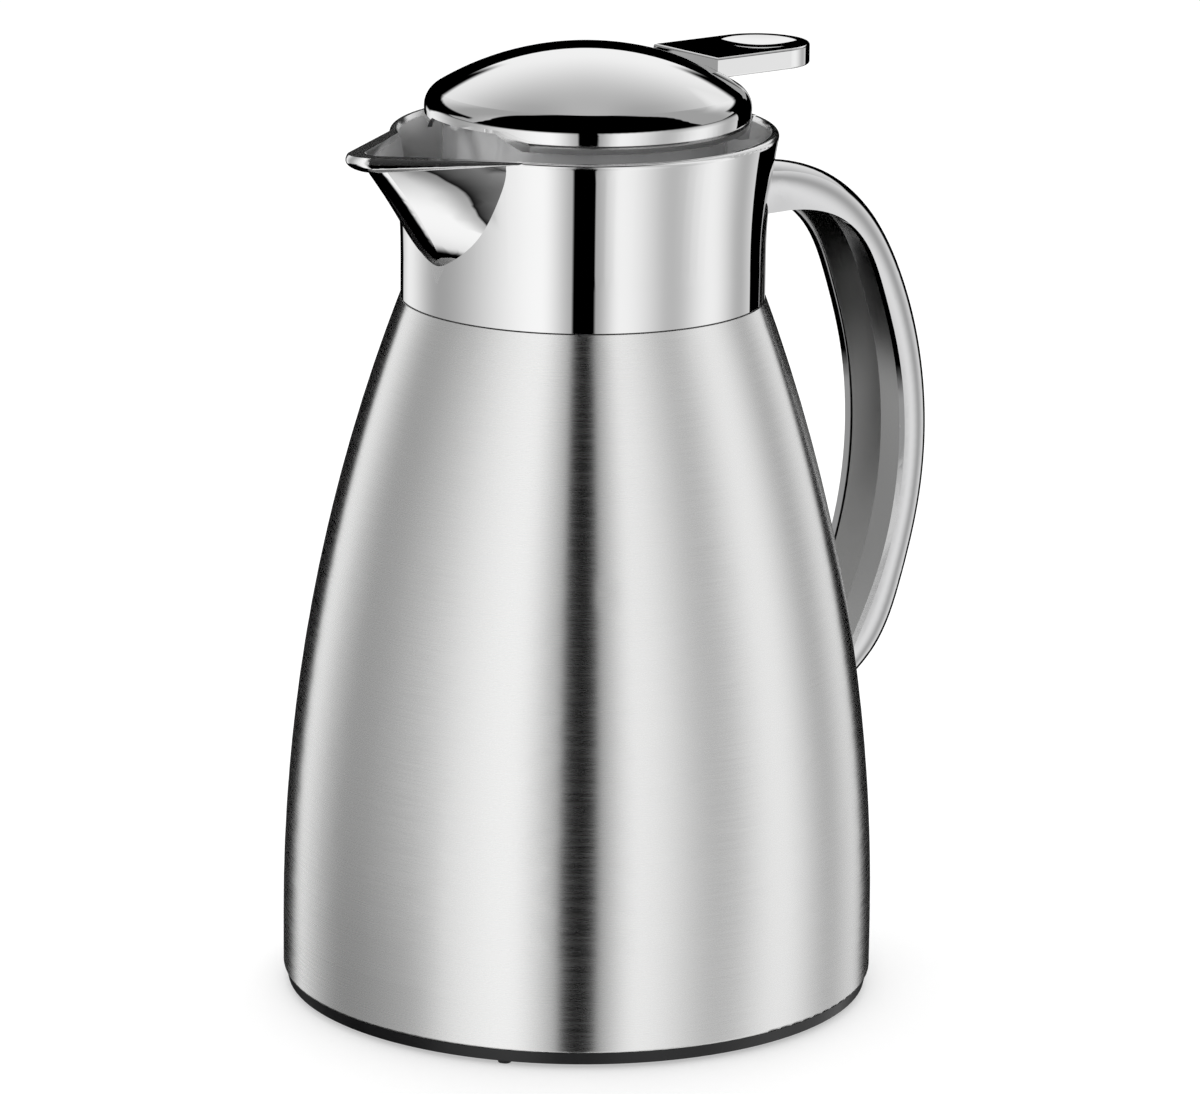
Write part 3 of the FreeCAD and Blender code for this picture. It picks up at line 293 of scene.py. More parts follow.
@dataclass(frozen=True)
class PouringHead(PolishedMetal):
    """A mirror polish outside, a softer one on the lip, and a satin finish inside the ring and its spout."""

    satin: float = 0.30
    ring_low: tuple[float, float] = (0.180, 0.04145)
    ring_high: tuple[float, float] = (0.206, 0.04400)
    spout_root: float = -0.0380
    spout_half: float = 0.0105
    spout_corner: tuple[float, float] = (-0.042, 0.190)
    spout_taper: float = 0.984
    spout_flare: float = 0.621
    lip: tuple[float, float] = (0.2045, 0.2053)
    lip_satin: float = 0.15
    ring_fade: float = 0.0003
    spout_fade: float = 0.0004
    root_fade: float = 0.0005

    def lined(self, tree: Tree, rough: bpy.types.NodeSocket) -> bpy.types.NodeSocket:
        """Adds the softer polish of the lip, and the satin finish inside the middle of the wall.

        Args:
            tree: The material's node tree.
            rough: The roughness of the polish.

        Returns:
            The roughness of the whole piece.
        """
        place = tree.add("ShaderNodeSeparateXYZ")
        tree.join(tree.add("ShaderNodeTexCoord").outputs["Object"], place.inputs["Vector"])
        along, side, high = (place.outputs[axis] for axis in "XYZ")
        reach = tree.math("SQRT", tree.math("MULTIPLY_ADD", along, along, tree.math("MULTIPLY", side, side)))
        (low, low_reach), (top, top_reach) = self.ring_low, self.ring_high
        middle = tree.ramp(high, low, top, low_reach, top_reach, False)
        ring = tree.ramp(tree.math("SUBTRACT", reach, middle), -self.ring_fade, self.ring_fade, 1.0, 0.0)
        corner, foot = self.spout_corner
        out = tree.math("SUBTRACT", along, corner)
        half = tree.math("MULTIPLY_ADD", out, self.spout_taper, self.spout_half)
        half = tree.math("MULTIPLY_ADD", tree.math("SUBTRACT", high, foot), self.spout_flare, half)
        beyond = tree.math("SUBTRACT", tree.math("ABSOLUTE", side), half)
        root = self.spout_root
        spout = tree.math(
            "MULTIPLY",
            tree.ramp(beyond, -self.spout_fade, self.spout_fade, 1.0, 0.0),
            tree.ramp(along, root - self.root_fade, root + self.root_fade, 1.0, 0.0),
        )
        inside = tree.math(
            "MULTIPLY", tree.math("MAXIMUM", ring, spout), tree.ramp(high, *self.lip, 1.0, 0.0)
        )
        lip = tree.ramp(high, *self.lip, 0.0, self.lip_satin)
        return tree.math("MULTIPLY_ADD", inside, self.satin, tree.math("ADD", rough, lip))


@dataclass(frozen=True)
class Moulding(Finish):
    """A moulded plastic or rubber with a fine skin."""

    skin: float = 1600.0
    skin_detail: float = 2.0
    depth: float = 0.00002
    patch: float = 70.0
    patch_detail: float = 3.0
    spread: float = 0.10
    rough_spread: float = 0.05

    def material(self) -> bpy.types.Material:
        """Returns the material of this finish."""
        material, tree, shader = self.shader()
        skin = tree.noise((self.skin, self.skin, self.skin), self.skin_detail)
        self.bump(tree, shader, skin, self.depth)
        patches = tree.noise((self.patch, self.patch, self.patch), self.patch_detail)
        self.tint(tree, shader, patches, self.spread)
        rough = tree.ramp(
            patches, *NOISE_RANGE, self.roughness - self.rough_spread, self.roughness + self.rough_spread
        )
        tree.join(rough, shader.inputs["Roughness"])
        return material


BODY_STEEL = BrushedMetal("brushed_body_steel", (0.93, 0.93, 0.925), 0.27, 1.0, streak=0.03, stretch=1.0)
DRAWN_STEEL = BrushedMetal("drawn_flask_steel", (0.72, 0.72, 0.71), 0.28, 1.0, fine=2600.0, spread=0.04)
INLAY_STEEL = BrushedMetal(
    "satin_inlay_steel", (0.38, 0.38, 0.377), 0.22, 1.0,
    grain=Grain.ALONG_Z, fine=1500.0, run=10.0, spread=0.02, streak=0.02,
)
MIRROR_STEEL = PolishedMetal("polished_steel", (0.94, 0.94, 0.94), 0.001, 1.0, haze=0.002)
HEAD_STEEL = PouringHead("polished_head_steel", (0.94, 0.94, 0.94), 0.001, 1.0, haze=0.002)
HANDLE_STEEL = PolishedMetal("polished_handle_steel", (0.76, 0.76, 0.765), 0.02, 1.0, haze=0.02)
PLATED_CORE = PolishedMetal("plated_core", (0.84, 0.84, 0.845), 0.12, 0.55, haze=0.04)
FASTENER_STEEL = PolishedMetal("fastener_steel", (0.76, 0.76, 0.75), 0.16, 1.0, haze=0.08)
GETTER_METAL = PolishedMetal("getter_metal", (0.42, 0.42, 0.43), 0.40, 1.0, haze=0.10)
BASE_PLASTIC = Moulding("black_base_plastic", (0.006, 0.006, 0.007), 0.34)
INNER_PLASTIC = Moulding("dark_inner_plastic", (0.045, 0.045, 0.048), 0.42)
BLACK_RUBBER = Moulding("black_rubber", (0.008, 0.008, 0.008), 0.60, skin=2400.0, depth=0.00003)


class FinishRack:
    """The materials made so far, one for each finish."""

    def __init__(self) -> None:
        """Starts with no materials."""
        self.materials: dict[str, bpy.types.Material] = {}

    def apply(self, finish: Finish, piece: bpy.types.Object) -> None:
        """Gives a piece a finish.

        Args:
            finish: The finish, whose material is made on its first use.
            piece: The piece.
        """
        if finish.name not in self.materials:
            self.materials[finish.name] = finish.material()
        piece.data.materials.clear()
        piece.data.materials.append(self.materials[finish.name])


class Bench:
    """The edit-mode steps that new pieces are shaped with."""

    @staticmethod
    def clear() -> None:
        """Deselects everything, so that the next step acts on its own piece alone."""
        bpy.ops.object.select_all(action="DESELECT")

    @staticmethod
    def faces(piece: bpy.types.Object, wanted: Callable[[bmesh.types.BMFace], bool]) -> None:
        """Selects the faces of the piece in edit mode that meet a test.

        Args:
            piece: The piece in edit mode.
            wanted: The test of a face.
        """
        bpy.ops.mesh.select_mode(type="FACE")
        bpy.ops.mesh.select_all(action="DESELECT")
        mesh = bmesh.from_edit_mesh(piece.data)
        for face in [face for face in mesh.faces if wanted(face)]:
            face.select_set(True)
        bmesh.update_edit_mesh(piece.data)

    @staticmethod
    def edges(piece: bpy.types.Object, wanted: Callable[[bmesh.types.BMEdge], bool]) -> None:
        """Selects the edges of the piece in edit mode that meet a test.

        Args:
            piece: The piece in edit mode.
            wanted: The test of an edge.
        """
        bpy.ops.mesh.select_mode(type="EDGE")
        bpy.ops.mesh.select_all(action="DESELECT")
        mesh = bmesh.from_edit_mesh(piece.data)
        for edge in [edge for edge in mesh.edges if wanted(edge)]:
            edge.select_set(True)
        bmesh.update_edit_mesh(piece.data)

    @staticmethod
    def finish(piece: bpy.types.Object, round_over: float, segments: int) -> None:
        """Leaves edit mode, rounds the piece's sharp edges and smooths its shading.

        Args:
            piece: The piece in edit mode.
            round_over: The width of the rounding in metres.
            segments: How many steps the rounding has.
        """
        bpy.ops.mesh.select_all(action="SELECT")
        bpy.ops.mesh.remove_doubles(threshold=MERGE_WITHIN)
        bpy.ops.mesh.normals_make_consistent(inside=False)
        bpy.ops.object.mode_set(mode="OBJECT")
        bevel = piece.modifiers.new("rounding", "BEVEL")
        bevel.width = round_over
        bevel.segments = segments
        bevel.limit_method = "ANGLE"
        bevel.angle_limit = SHARP_EDGE
        bpy.ops.object.modifier_apply(modifier=bevel.name)
        bpy.ops.object.shade_smooth_by_angle(angle=SMOOTH_BELOW)


@dataclass
class SubAssembly:
    """What the jug's sub-assemblies share: the body they ride on and the finish of each node."""

    body: Body
    finishes: dict[str, Finish]

    def build(self) -> dict[str, bpy.types.Object]:
        """Returns the group's pieces by node name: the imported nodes, unless a group models its own."""
        return {node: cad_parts[node] for node in self.finishes}

    def dress(self, rack: FinishRack) -> None:
        """Gives every piece of the group its finish and reports it.

        Args:
            rack: The materials made so far.
        """
        for node, piece in self.build().items():
            rack.apply(self.finishes[node], piece)
            LOG.info("%s: %s on %s", piece.name, self.finishes[node].name, self.body.value)


@dataclass
class Flask(SubAssembly):
    """The double-walled vessel: brushed outer shell, drawn inner flask and the parts of its vacuum."""

    body: Body = Body.JUG
    finishes: dict[str, Finish] = field(default_factory=lambda: {
        "outer_shell": BODY_STEEL,
        "inner_flask": DRAWN_STEEL,
        "vacuum_floor": DRAWN_STEEL,
        "getter": GETTER_METAL,
    })


@dataclass
class Base(SubAssembly):
    """The black base plate with its rubber foot ring, which has three tabs under the plate's edge."""

    body: Body = Body.JUG
    finishes: dict[str, Finish] = field(default_factory=lambda: {
        "base_plate": BASE_PLASTIC,
        "foot_ring": BLACK_RUBBER,
    })
    slot: str = "black_rubber"
    sides: int = 120
    outer: float = 0.0580
    inner: float = 0.0520
    top: float = 0.0026
    lift: float = 0.00011
    tab_reach: float = 0.0684
    tab_end: float = 0.99
    tab_high: float = 0.00095
    tab_round: float = 0.0012
    tab_steps: int = 4
    tab_turns: tuple[float, ...] = (98.0, 218.0, 338.0)
    grip_rim: float = 0.0007
    grip_deep: float = 0.0005
    round_over: float = 0.00022
    round_steps: int = 2

    def build(self) -> dict[str, bpy.types.Object]:
        """Returns the base's pieces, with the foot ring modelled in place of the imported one."""
        pieces = super().build()
        ring = self.foot_ring()
        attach(ring, self.body.value)
        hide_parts("foot_ring")
        pieces["foot_ring"] = ring
        return pieces

    def turn_of(self, place: Vector) -> float:
        """Returns the angle of a place about the jug's axis, in degrees from 0 to 360."""
        return math.degrees(math.atan2(place.y, place.x)) % 360.0

    def foot_ring(self) -> bpy.types.Object:
        """Models the rubber ring with its tabs and grip pockets.

        Returns:
            The ring.
        """
        step = 360.0 / self.sides
        Bench.clear()
        bpy.ops.mesh.primitive_cylinder_add(
            vertices=self.sides, radius=self.outer, depth=self.top - self.lift,
            location=(0.0, 0.0, (self.top + self.lift) / 2),
            rotation=(0.0, 0.0, math.radians(self.tab_turns[0] + step / 2)),
        )
        ring = bpy.context.object
        ring.name = "rubber_foot_ring"
        bpy.ops.object.transform_apply(location=True, rotation=True, scale=True)
        bpy.ops.object.mode_set(mode="EDIT")
        Bench.faces(ring, lambda face: abs(face.normal.z) > FACES_STRAIGHT)
        bpy.ops.mesh.inset(thickness=self.outer - self.inner)
        bpy.ops.mesh.bridge_edge_loops()
        bpy.ops.mesh.select_all(action="SELECT")
        bpy.ops.mesh.bisect(plane_co=(0.0, 0.0, self.tab_high), plane_no=(0.0, 0.0, 1.0))
        self.add_grip(ring, step)
        self.add_tabs(ring, step)
        Bench.finish(ring, self.round_over, self.round_steps)
        return ring

    def add_grip(self, ring: bpy.types.Object, step: float) -> None:
        """Sinks a pocket into every other face of the ring's underside.

        Args:
            ring: The ring in edit mode.
            step: The angle of one side of the ring, in degrees.
        """
        def pocket(face: bmesh.types.BMFace) -> bool:
            """Tells whether a face of the underside gets a pocket."""
            turn = self.turn_of(face.calc_center_median())
            return face.normal.z < -FACES_STRAIGHT and round((turn - self.tab_turns[0]) / step) % 2 == 1

        Bench.faces(ring, pocket)
        bpy.ops.mesh.inset(thickness=self.grip_rim, use_individual=True)
        bpy.ops.transform.translate(value=(0.0, 0.0, self.grip_deep))

    def add_tabs(self, ring: bpy.types.Object, step: float) -> None:
        """Draws the three tabs out of the ring's outer wall.

        Args:
            ring: The ring in edit mode.
            step: The angle of one side of the ring, in degrees.
        """
        for turn in self.tab_turns:
            out = Vector((math.cos(math.radians(turn)), math.sin(math.radians(turn)), 0.0))

            def root(face: bmesh.types.BMFace) -> bool:
                """Tells whether a face of the outer wall carries this tab."""
                place = face.calc_center_median()
                aside = (self.turn_of(place) - turn + 180.0) % 360.0 - 180.0
                outward = face.normal.dot(out) > FACES_STRAIGHT
                return outward and place.z < self.tab_high and abs(aside) < step / 2

            Bench.faces(ring, root)
            bpy.ops.mesh.extrude_region_move(
                TRANSFORM_OT_translate={"value": out * (self.tab_reach - self.outer)}
            )

        def nose(edge: bmesh.types.BMEdge) -> bool:
            """Tells whether an edge is an upright corner at a tab's end."""
            first, second = (corner.co for corner in edge.verts)
            far = min(math.hypot(first.x, first.y), math.hypot(second.x, second.y))
            return far > self.tab_reach * self.tab_end and abs(first.z - second.z) > self.tab_high / 2

        Bench.edges(ring, nose)
        bpy.ops.mesh.bevel(offset=self.tab_round, segments=self.tab_steps, affect="EDGES")


@dataclass
class Collar(SubAssembly):
    """The polished collar with its spout, the gasket under it, the pour ring inside and the hinge pin."""

    body: Body = Body.JUG
    finishes: dict[str, Finish] = field(default_factory=lambda: {
        "collar": HEAD_STEEL,
        "shoulder_gasket": BLACK_RUBBER,
        "pour_ring": INNER_PLASTIC,
        "hinge_pin": FASTENER_STEEL,
    })


@dataclass
class Handle(SubAssembly):
    """The hollow polished handle with its satin inner strip and what holds both to the jug."""

    body: Body = Body.JUG
    finishes: dict[str, Finish] = field(default_factory=lambda: {
        "handle_shell": HANDLE_STEEL,
        "handle_inlay": INLAY_STEEL,
        "handle_anchor": DRAWN_STEEL,
        "handle_bracket": DRAWN_STEEL,
        "handle_upper_screw": FASTENER_STEEL,
        "handle_lower_screw": FASTENER_STEEL,
    })


@dataclass
class Lid(SubAssembly):
    """The polished dome with its core, thumb lever, screws and the seal's spring."""

    body: Body = Body.LID
    finishes: dict[str, Finish] = field(default_factory=lambda: {
        "lid_dome": MIRROR_STEEL,
        "lid_core": PLATED_CORE,
        "lid_screws": FASTENER_STEEL,
        "thumb_lever": MIRROR_STEEL,
        "lever_screws": FASTENER_STEEL,
        "seal_spring": FASTENER_STEEL,
    })
    slot: str = "fastener_steel"
    coil_radius: float = 0.0090
    coil_low: float = 0.1877
    coil_high: float = 0.2077
    coil_turns: int = 6
    coil_steps: int = 48
    wire_radius: float = 0.0006
    wire_sides: int = 12

    def build(self) -> dict[str, bpy.types.Object]:
        """Returns the lid's pieces, with the seal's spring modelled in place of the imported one."""
        pieces = super().build()
        spring = self.spring()
        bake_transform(spring)
        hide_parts("seal_spring")
        pieces["seal_spring"] = spring
        return pieces

    def spring(self) -> bpy.types.Object:
        """Winds the seal's spring as one fixed coil, though the real spring shortens when the seal slides
        up.

        Returns:
            The spring.
        """
        Bench.clear()
        bpy.ops.mesh.primitive_circle_add(
            vertices=self.wire_sides, radius=self.wire_radius,
            location=(self.coil_radius, 0.0, self.coil_low), rotation=(math.radians(90.0), 0.0, 0.0),
        )
        spring = bpy.context.object
        spring.name = "seal_coil_spring"
        bpy.ops.object.transform_apply(location=True, rotation=True, scale=True)
        coil = spring.modifiers.new("coil", "SCREW")
        coil.axis = "Z"
        coil.angle = math.radians(360.0)
        coil.screw_offset = (self.coil_high - self.coil_low) / self.coil_turns
        coil.iterations = self.coil_turns
        coil.steps = self.coil_steps
        coil.render_steps = self.coil_steps
        bpy.ops.object.modifier_apply(modifier=coil.name)
        bpy.ops.object.mode_set(mode="EDIT")
        bpy.ops.mesh.select_all(action="SELECT")
        bpy.ops.mesh.fill_holes(sides=self.wire_sides)
        bpy.ops.mesh.normals_make_consistent(inside=False)
        bpy.ops.object.mode_set(mode="OBJECT")
        bpy.ops.object.shade_smooth_by_angle(angle=SMOOTH_BELOW)
        return spring


@dataclass
class Seal(SubAssembly):
    """The sprung plate under the lid, with its clip and gasket."""

    body: Body = Body.SEAL
    finishes: dict[str, Finish] = field(default_factory=lambda: {
        "seal_plate": INNER_PLASTIC,
        "seal_clip": FASTENER_STEEL,
        "seal_gasket": BLACK_RUBBER,
    })


@dataclass(frozen=True)
class Panel:
    """A white studio panel that glows most at one bearing and fades to its sides.

    Its centre, the widths of its rise and fall and its top are angles in degrees.
    """

    centre: float
    rise: float
    fall: float
    level: float
    top: float


@dataclass
class Studio:
    """The white studio: side panels with a dark gap behind the camera, and a soft box above.

    Mirror polish sees the panels with all their edges, brushed and satin metal see them tall and even.
    """

    panels: tuple[Panel, ...] = (
        Panel(-142.0, 30.0, 40.0, 0.52, 4.0),
        Panel(-27.0, 76.0, 25.0, 0.62, 70.0),
        Panel(24.0, 18.0, 44.0, 0.56, 70.0),
        Panel(88.0, 38.0, 34.0, 0.54, -1.0),
        Panel(150.0, 42.0, 40.0, 0.50, 40.0),
    )
    panel_fade: float = 6.0
    panel_top: tuple[float, float] = (0.0, 7.0)
    spill: float = 0.36
    left_edge: tuple[float, float] = (-159.0, -156.0)
    right_edge: tuple[float, float] = (170.0, 174.0)
    soft_left_edge: tuple[float, float] = (-146.0, -140.0)
    soft_right_edge: tuple[float, float] = (142.0, 148.0)
    soft_top: tuple[float, float] = (58.0, 74.0)
    gap_left: tuple[float, float] = (-7.5, -5.5)
    gap_right: tuple[float, float] = (6.5, 8.5)
    low_left_side: tuple[float, float] = (-76.0, -52.0)
    low_left_top: tuple[float, float] = (-27.0, -20.0)
    brink_slope: float = -0.47
    brink_start: float = -57.0
    brink_edge: tuple[float, float] = (-0.8, 0.4)
    brink_glow: tuple[float, float] = (-10.0, 0.0)
    brink_dim: float = 0.5
    shade_deep: float = 30.0
    shade_top: tuple[float, float] = (-38.0, -32.0)
    shade_left: tuple[float, float] = (-30.0, -26.0)
    shade_right: tuple[float, float] = (-6.0, -4.0)
    belt_left: tuple[float, float, float, float] = (-146.0, -100.0, -7.0, 14.0)
    belt_right: tuple[float, float, float, float] = (126.0, 140.0, 14.0, -60.0)
    belt_fade: float = 1.5
    belt_top: tuple[float, float] = (20.0, 24.0)
    belt_left_part: tuple[tuple[float, float], ...] = ((-170.0, -166.0), (-96.0, -90.0))
    belt_right_part: tuple[tuple[float, float], ...] = ((120.0, 126.0), (166.0, 170.0))
    box_near: float = 0.2
    box_side: float = -0.55
    box_bow: float = 1.2
    box_fade: float = 0.03
    box_far: tuple[float, float] = (3.2, 3.3)
    box_foot: tuple[float, float] = (0.08, 0.1)
    box_least_rise: float = 0.05
    box_turns: tuple[float, float] = (110.0, 175.0)
    box_rises: tuple[float, float] = (25.0, 68.0)
    box_dim: float = 0.36
    box_bright: float = 0.92
    box_top_dim: float = 0.5
    room_level: float = 0.72

    def bearing_axes(self) -> tuple[Vector, Vector]:
        """Returns the level directions from the jug to the camera and to the camera's right."""
        side = math.radians(CAMERA_SIDE)
        return (
            Vector((-math.sin(side), -math.cos(side), 0.0)),
            Vector((math.cos(side), -math.sin(side), 0.0)),
        )

    def build(self) -> None:
        """Makes the world that the jug's metal mirrors and that lights the floor."""
        world = bpy.data.worlds.new("studio")
        bpy.context.scene.world = world
        world.use_nodes = True
        tree = Tree(world.node_tree)
        sight = tree.add("ShaderNodeTexCoord").outputs["Generated"]
        parts = []
        for axis in (*self.bearing_axes(), Vector((0.0, 0.0, 1.0))):
            dot = tree.add("ShaderNodeVectorMath", operation="DOT_PRODUCT")
            tree.join(sight, dot.inputs[0])
            dot.inputs[1].default_value = axis
            parts.append(dot.outputs["Value"])
        toward, right, high = parts
        degree = math.degrees(1.0)
        bearing = tree.math("MULTIPLY", tree.math("ARCTAN2", right, toward), degree)
        rise = tree.math("MULTIPLY", tree.math("ARCSINE", high), degree)
        rays = tree.add("ShaderNodeLightPath")
        above = self.above(tree, toward, right, high)
        box = tree.math("MULTIPLY", self.box_glow(tree, bearing, rise), above)
        sharp = tree.math("MAXIMUM", self.sharp_glow(tree, bearing, rise, above), box)
        sharp = tree.math("MULTIPLY", sharp, self.dark_belt(tree, bearing, rise))
        blurred = tree.math("MAXIMUM", self.blurred_glow(tree, bearing, rise), box)
        light = self.choose(tree, rays.outputs["Is Singular Ray"], sharp, blurred)
        light = self.choose(tree, rays.outputs["Is Diffuse Ray"], self.room_level, light)
        light = self.choose(tree, rays.outputs["Is Camera Ray"], 1.0, light)
        background = tree.add("ShaderNodeBackground")
        background.inputs["Color"].default_value = (1.0, 1.0, 1.0, 1.0)
        tree.join(light, background.inputs["Strength"])
        output = tree.add("ShaderNodeOutputWorld")
        tree.join(background.outputs["Background"], output.inputs["Surface"])
        LOG.info("studio: %d panels", len(self.panels))

    def choose(self, tree: Tree, which: bpy.types.NodeSocket, first: "bpy.types.NodeSocket | float",
               second: "bpy.types.NodeSocket | float") -> bpy.types.NodeSocket:
        """Takes one of two values.

        Args:
            tree: The world's node tree.
            which: 1 for the first value and 0 for the second.
            first: The first value.
            second: The second value.

        Returns:
            The value taken.
        """
        mix = tree.add("ShaderNodeMix", data_type="FLOAT")
        tree.join(which, mix.inputs["Factor"])
        tree.feed(mix.inputs["A"], second)
        tree.feed(mix.inputs["B"], first)
        return mix.outputs["Result"]

    def panel_sum(self, tree: Tree, bearing: bpy.types.NodeSocket,
                  rise: "bpy.types.NodeSocket | None" = None) -> bpy.types.NodeSocket:
        """Adds up the side panels.

        Args:
            tree: The world's node tree.
            bearing: The bearing of a direction, in degrees from the camera.
            rise: The angle of a direction above the level, where the panels' own tops count.

        Returns:
            The brightness of the panels at that bearing.
        """
        total = tree.math("ADD", self.spill, 0.0)
        for panel in self.panels:
            up = tree.ramp(bearing, panel.centre - panel.rise, panel.centre, 0.0, panel.level)
            down = tree.ramp(bearing, panel.centre, panel.centre + panel.fall, 1.0, 0.0)
            lobe = tree.math("MULTIPLY", up, down)
            if rise is not None:
                low, high = panel.top - self.panel_fade, panel.top + self.panel_fade
                lobe = tree.math("MULTIPLY", lobe, tree.ramp(rise, low, high, 1.0, 0.0))
            total = tree.math("ADD", total, lobe)
        return total

    def sharp_glow(self, tree: Tree, bearing: bpy.types.NodeSocket, rise: bpy.types.NodeSocket,
                   above: bpy.types.NodeSocket) -> bpy.types.NodeSocket:
        """Makes the panels as a mirror shows them, with all their edges.

        Args:
            tree: The world's node tree.
            bearing: The bearing of a direction, in degrees from the camera.
            rise: The angle of a direction above the level, in degrees.
            above: The mask of the soft box.

        Returns:
            The brightness of the panels in that direction.
        """
        total = self.panel_sum(tree, bearing, rise)
        masks = (
            self.edges(tree, bearing, self.left_edge, self.right_edge),
            self.gap(tree, bearing),
            self.low_left(tree, bearing, rise),
            self.spout_shade(tree, bearing, rise),
            tree.math("MAXIMUM", tree.ramp(rise, *self.panel_top, 1.0, 0.0), above),
        )
        for mask in masks:
            total = tree.math("MULTIPLY", total, mask)
        return total

    def blurred_glow(self, tree: Tree, bearing: bpy.types.NodeSocket,
                     rise: bpy.types.NodeSocket) -> bpy.types.NodeSocket:
        """Makes the panels as brushed metal gathers them, tall and even.

        Args:
            tree: The world's node tree.
            bearing: The bearing of a direction, in degrees from the camera.
            rise: The angle of a direction above the level, in degrees.

        Returns:
            The brightness of the panels in that direction.
        """
        total = self.panel_sum(tree, bearing)
        masks = (
            self.edges(tree, bearing, self.soft_left_edge, self.soft_right_edge),
            self.gap(tree, bearing),
            self.low_left(tree, bearing, rise),
            tree.ramp(rise, *self.soft_top, 1.0, 0.0),
        )
        for mask in masks:
            total = tree.math("MULTIPLY", total, mask)
        return total

    def edges(self, tree: Tree, value: bpy.types.NodeSocket, begin: tuple[float, float],
              end: tuple[float, float]) -> bpy.types.NodeSocket:
        """Makes a mask that is 1 between two soft edges.

        Args:
            tree: The world's node tree.
            value: What the mask follows.
            begin: Where the first edge starts and is full.
            end: Where the last edge starts and is gone.

        Returns:
            The mask.
        """
        first = tree.ramp(value, *begin, 0.0, 1.0)
        last = tree.ramp(value, *end, 1.0, 0.0)
        return tree.math("MULTIPLY", first, last)

    def gap(self, tree: Tree, bearing: bpy.types.NodeSocket) -> bpy.types.NodeSocket:
        """Returns the mask of the dark gap behind the camera."""
        return tree.math("SUBTRACT", 1.0, self.edges(tree, bearing, self.gap_left, self.gap_right))

    def low_left(self, tree: Tree, bearing: bpy.types.NodeSocket,
                 rise: bpy.types.NodeSocket) -> bpy.types.NodeSocket:
        """Returns the mask of the dark room below the panel on the left."""
        front = tree.ramp(bearing, *self.low_left_side, 0.0, 1.0)
        above = tree.ramp(rise, *self.low_left_top, 0.0, 1.0)
        return tree.math("MAXIMUM", front, above)

    def spout_shade(self, tree: Tree, bearing: bpy.types.NodeSocket,
                    rise: bpy.types.NodeSocket) -> bpy.types.NodeSocket:
        """Returns the mask of the dark table front that the spout's flank mirrors."""
        brink = tree.math("MULTIPLY_ADD", bearing, self.brink_slope, self.brink_start)
        over = tree.math("SUBTRACT", rise, brink)
        mask = tree.ramp(over, 0.0, self.shade_deep, 0.0, 1.0, False)
        for lit in (
            tree.math(
                "MULTIPLY",
                tree.ramp(over, *self.brink_edge, 1.0, 0.0),
                tree.ramp(over, *self.brink_glow, 1.0, self.brink_dim),
            ),
            tree.ramp(rise, *self.shade_top, 0.0, 1.0),
            tree.ramp(bearing, *self.shade_left, 1.0, 0.0),
            tree.ramp(bearing, *self.shade_right, 0.0, 1.0),
        ):
            mask = tree.math("MAXIMUM", mask, lit)
        return mask

    def dark_belt(self, tree: Tree, bearing: bpy.types.NodeSocket,
                  rise: bpy.types.NodeSocket) -> bpy.types.NodeSocket:
        """Returns the mask of the dark belt between the low panels and what hangs above them."""
        left = tree.ramp(bearing, *self.belt_left, False)
        right = tree.ramp(bearing, *self.belt_right, False)
        low = tree.math("MINIMUM", left, right)
        belt = tree.math(
            "MULTIPLY",
            tree.ramp(tree.math("SUBTRACT", rise, low), -self.belt_fade, self.belt_fade, 0.0, 1.0),
            tree.ramp(rise, *self.belt_top, 1.0, 0.0),
        )
        sides = tree.math(
            "ADD",
            self.edges(tree, bearing, *self.belt_left_part),
            self.edges(tree, bearing, *self.belt_right_part),
        )
        return tree.math("SUBTRACT", 1.0, tree.math("MULTIPLY", belt, sides))

    def above(self, tree: Tree, toward: bpy.types.NodeSocket, right: bpy.types.NodeSocket,
              high: bpy.types.NodeSocket) -> bpy.types.NodeSocket:
        """Makes the outline of the soft box, which bows over the jug from the back to both sides.

        Args:
            tree: The world's node tree.
            toward: How far a direction points to the camera.
            right: How far a direction points to the camera's right.
            high: How far a direction points up.

        Returns:
            The mask of the box.
        """
        lift = tree.math("MAXIMUM", high, self.box_least_rise)
        back = tree.math("MULTIPLY", tree.math("DIVIDE", toward, lift), -1.0)
        across = tree.math("DIVIDE", right, tree.math("MULTIPLY", lift, self.box_bow))
        spread = tree.math("MULTIPLY_ADD", across, across, 1.0)
        bow = tree.math("DIVIDE", self.box_near - self.box_side, spread)
        front = tree.math("ADD", bow, self.box_side)
        mask = tree.ramp(tree.math("SUBTRACT", back, front), -self.box_fade, self.box_fade, 0.0, 1.0)
        for limit in (
            tree.ramp(back, *self.box_far, 1.0, 0.0),
            tree.ramp(high, *self.box_foot, 0.0, 1.0),
        ):
            mask = tree.math("MULTIPLY", mask, limit)
        return mask

    def box_glow(self, tree: Tree, bearing: bpy.types.NodeSocket,
                 rise: bpy.types.NodeSocket) -> bpy.types.NodeSocket:
        """Returns the brightness of the soft box, which is brightest low down at the back."""
        aside = tree.math("ABSOLUTE", bearing)
        level = tree.ramp(aside, *self.box_turns, self.box_dim, self.box_bright)
        return tree.math("MULTIPLY", level, tree.ramp(rise, *self.box_rises, 1.0, self.box_top_dim))


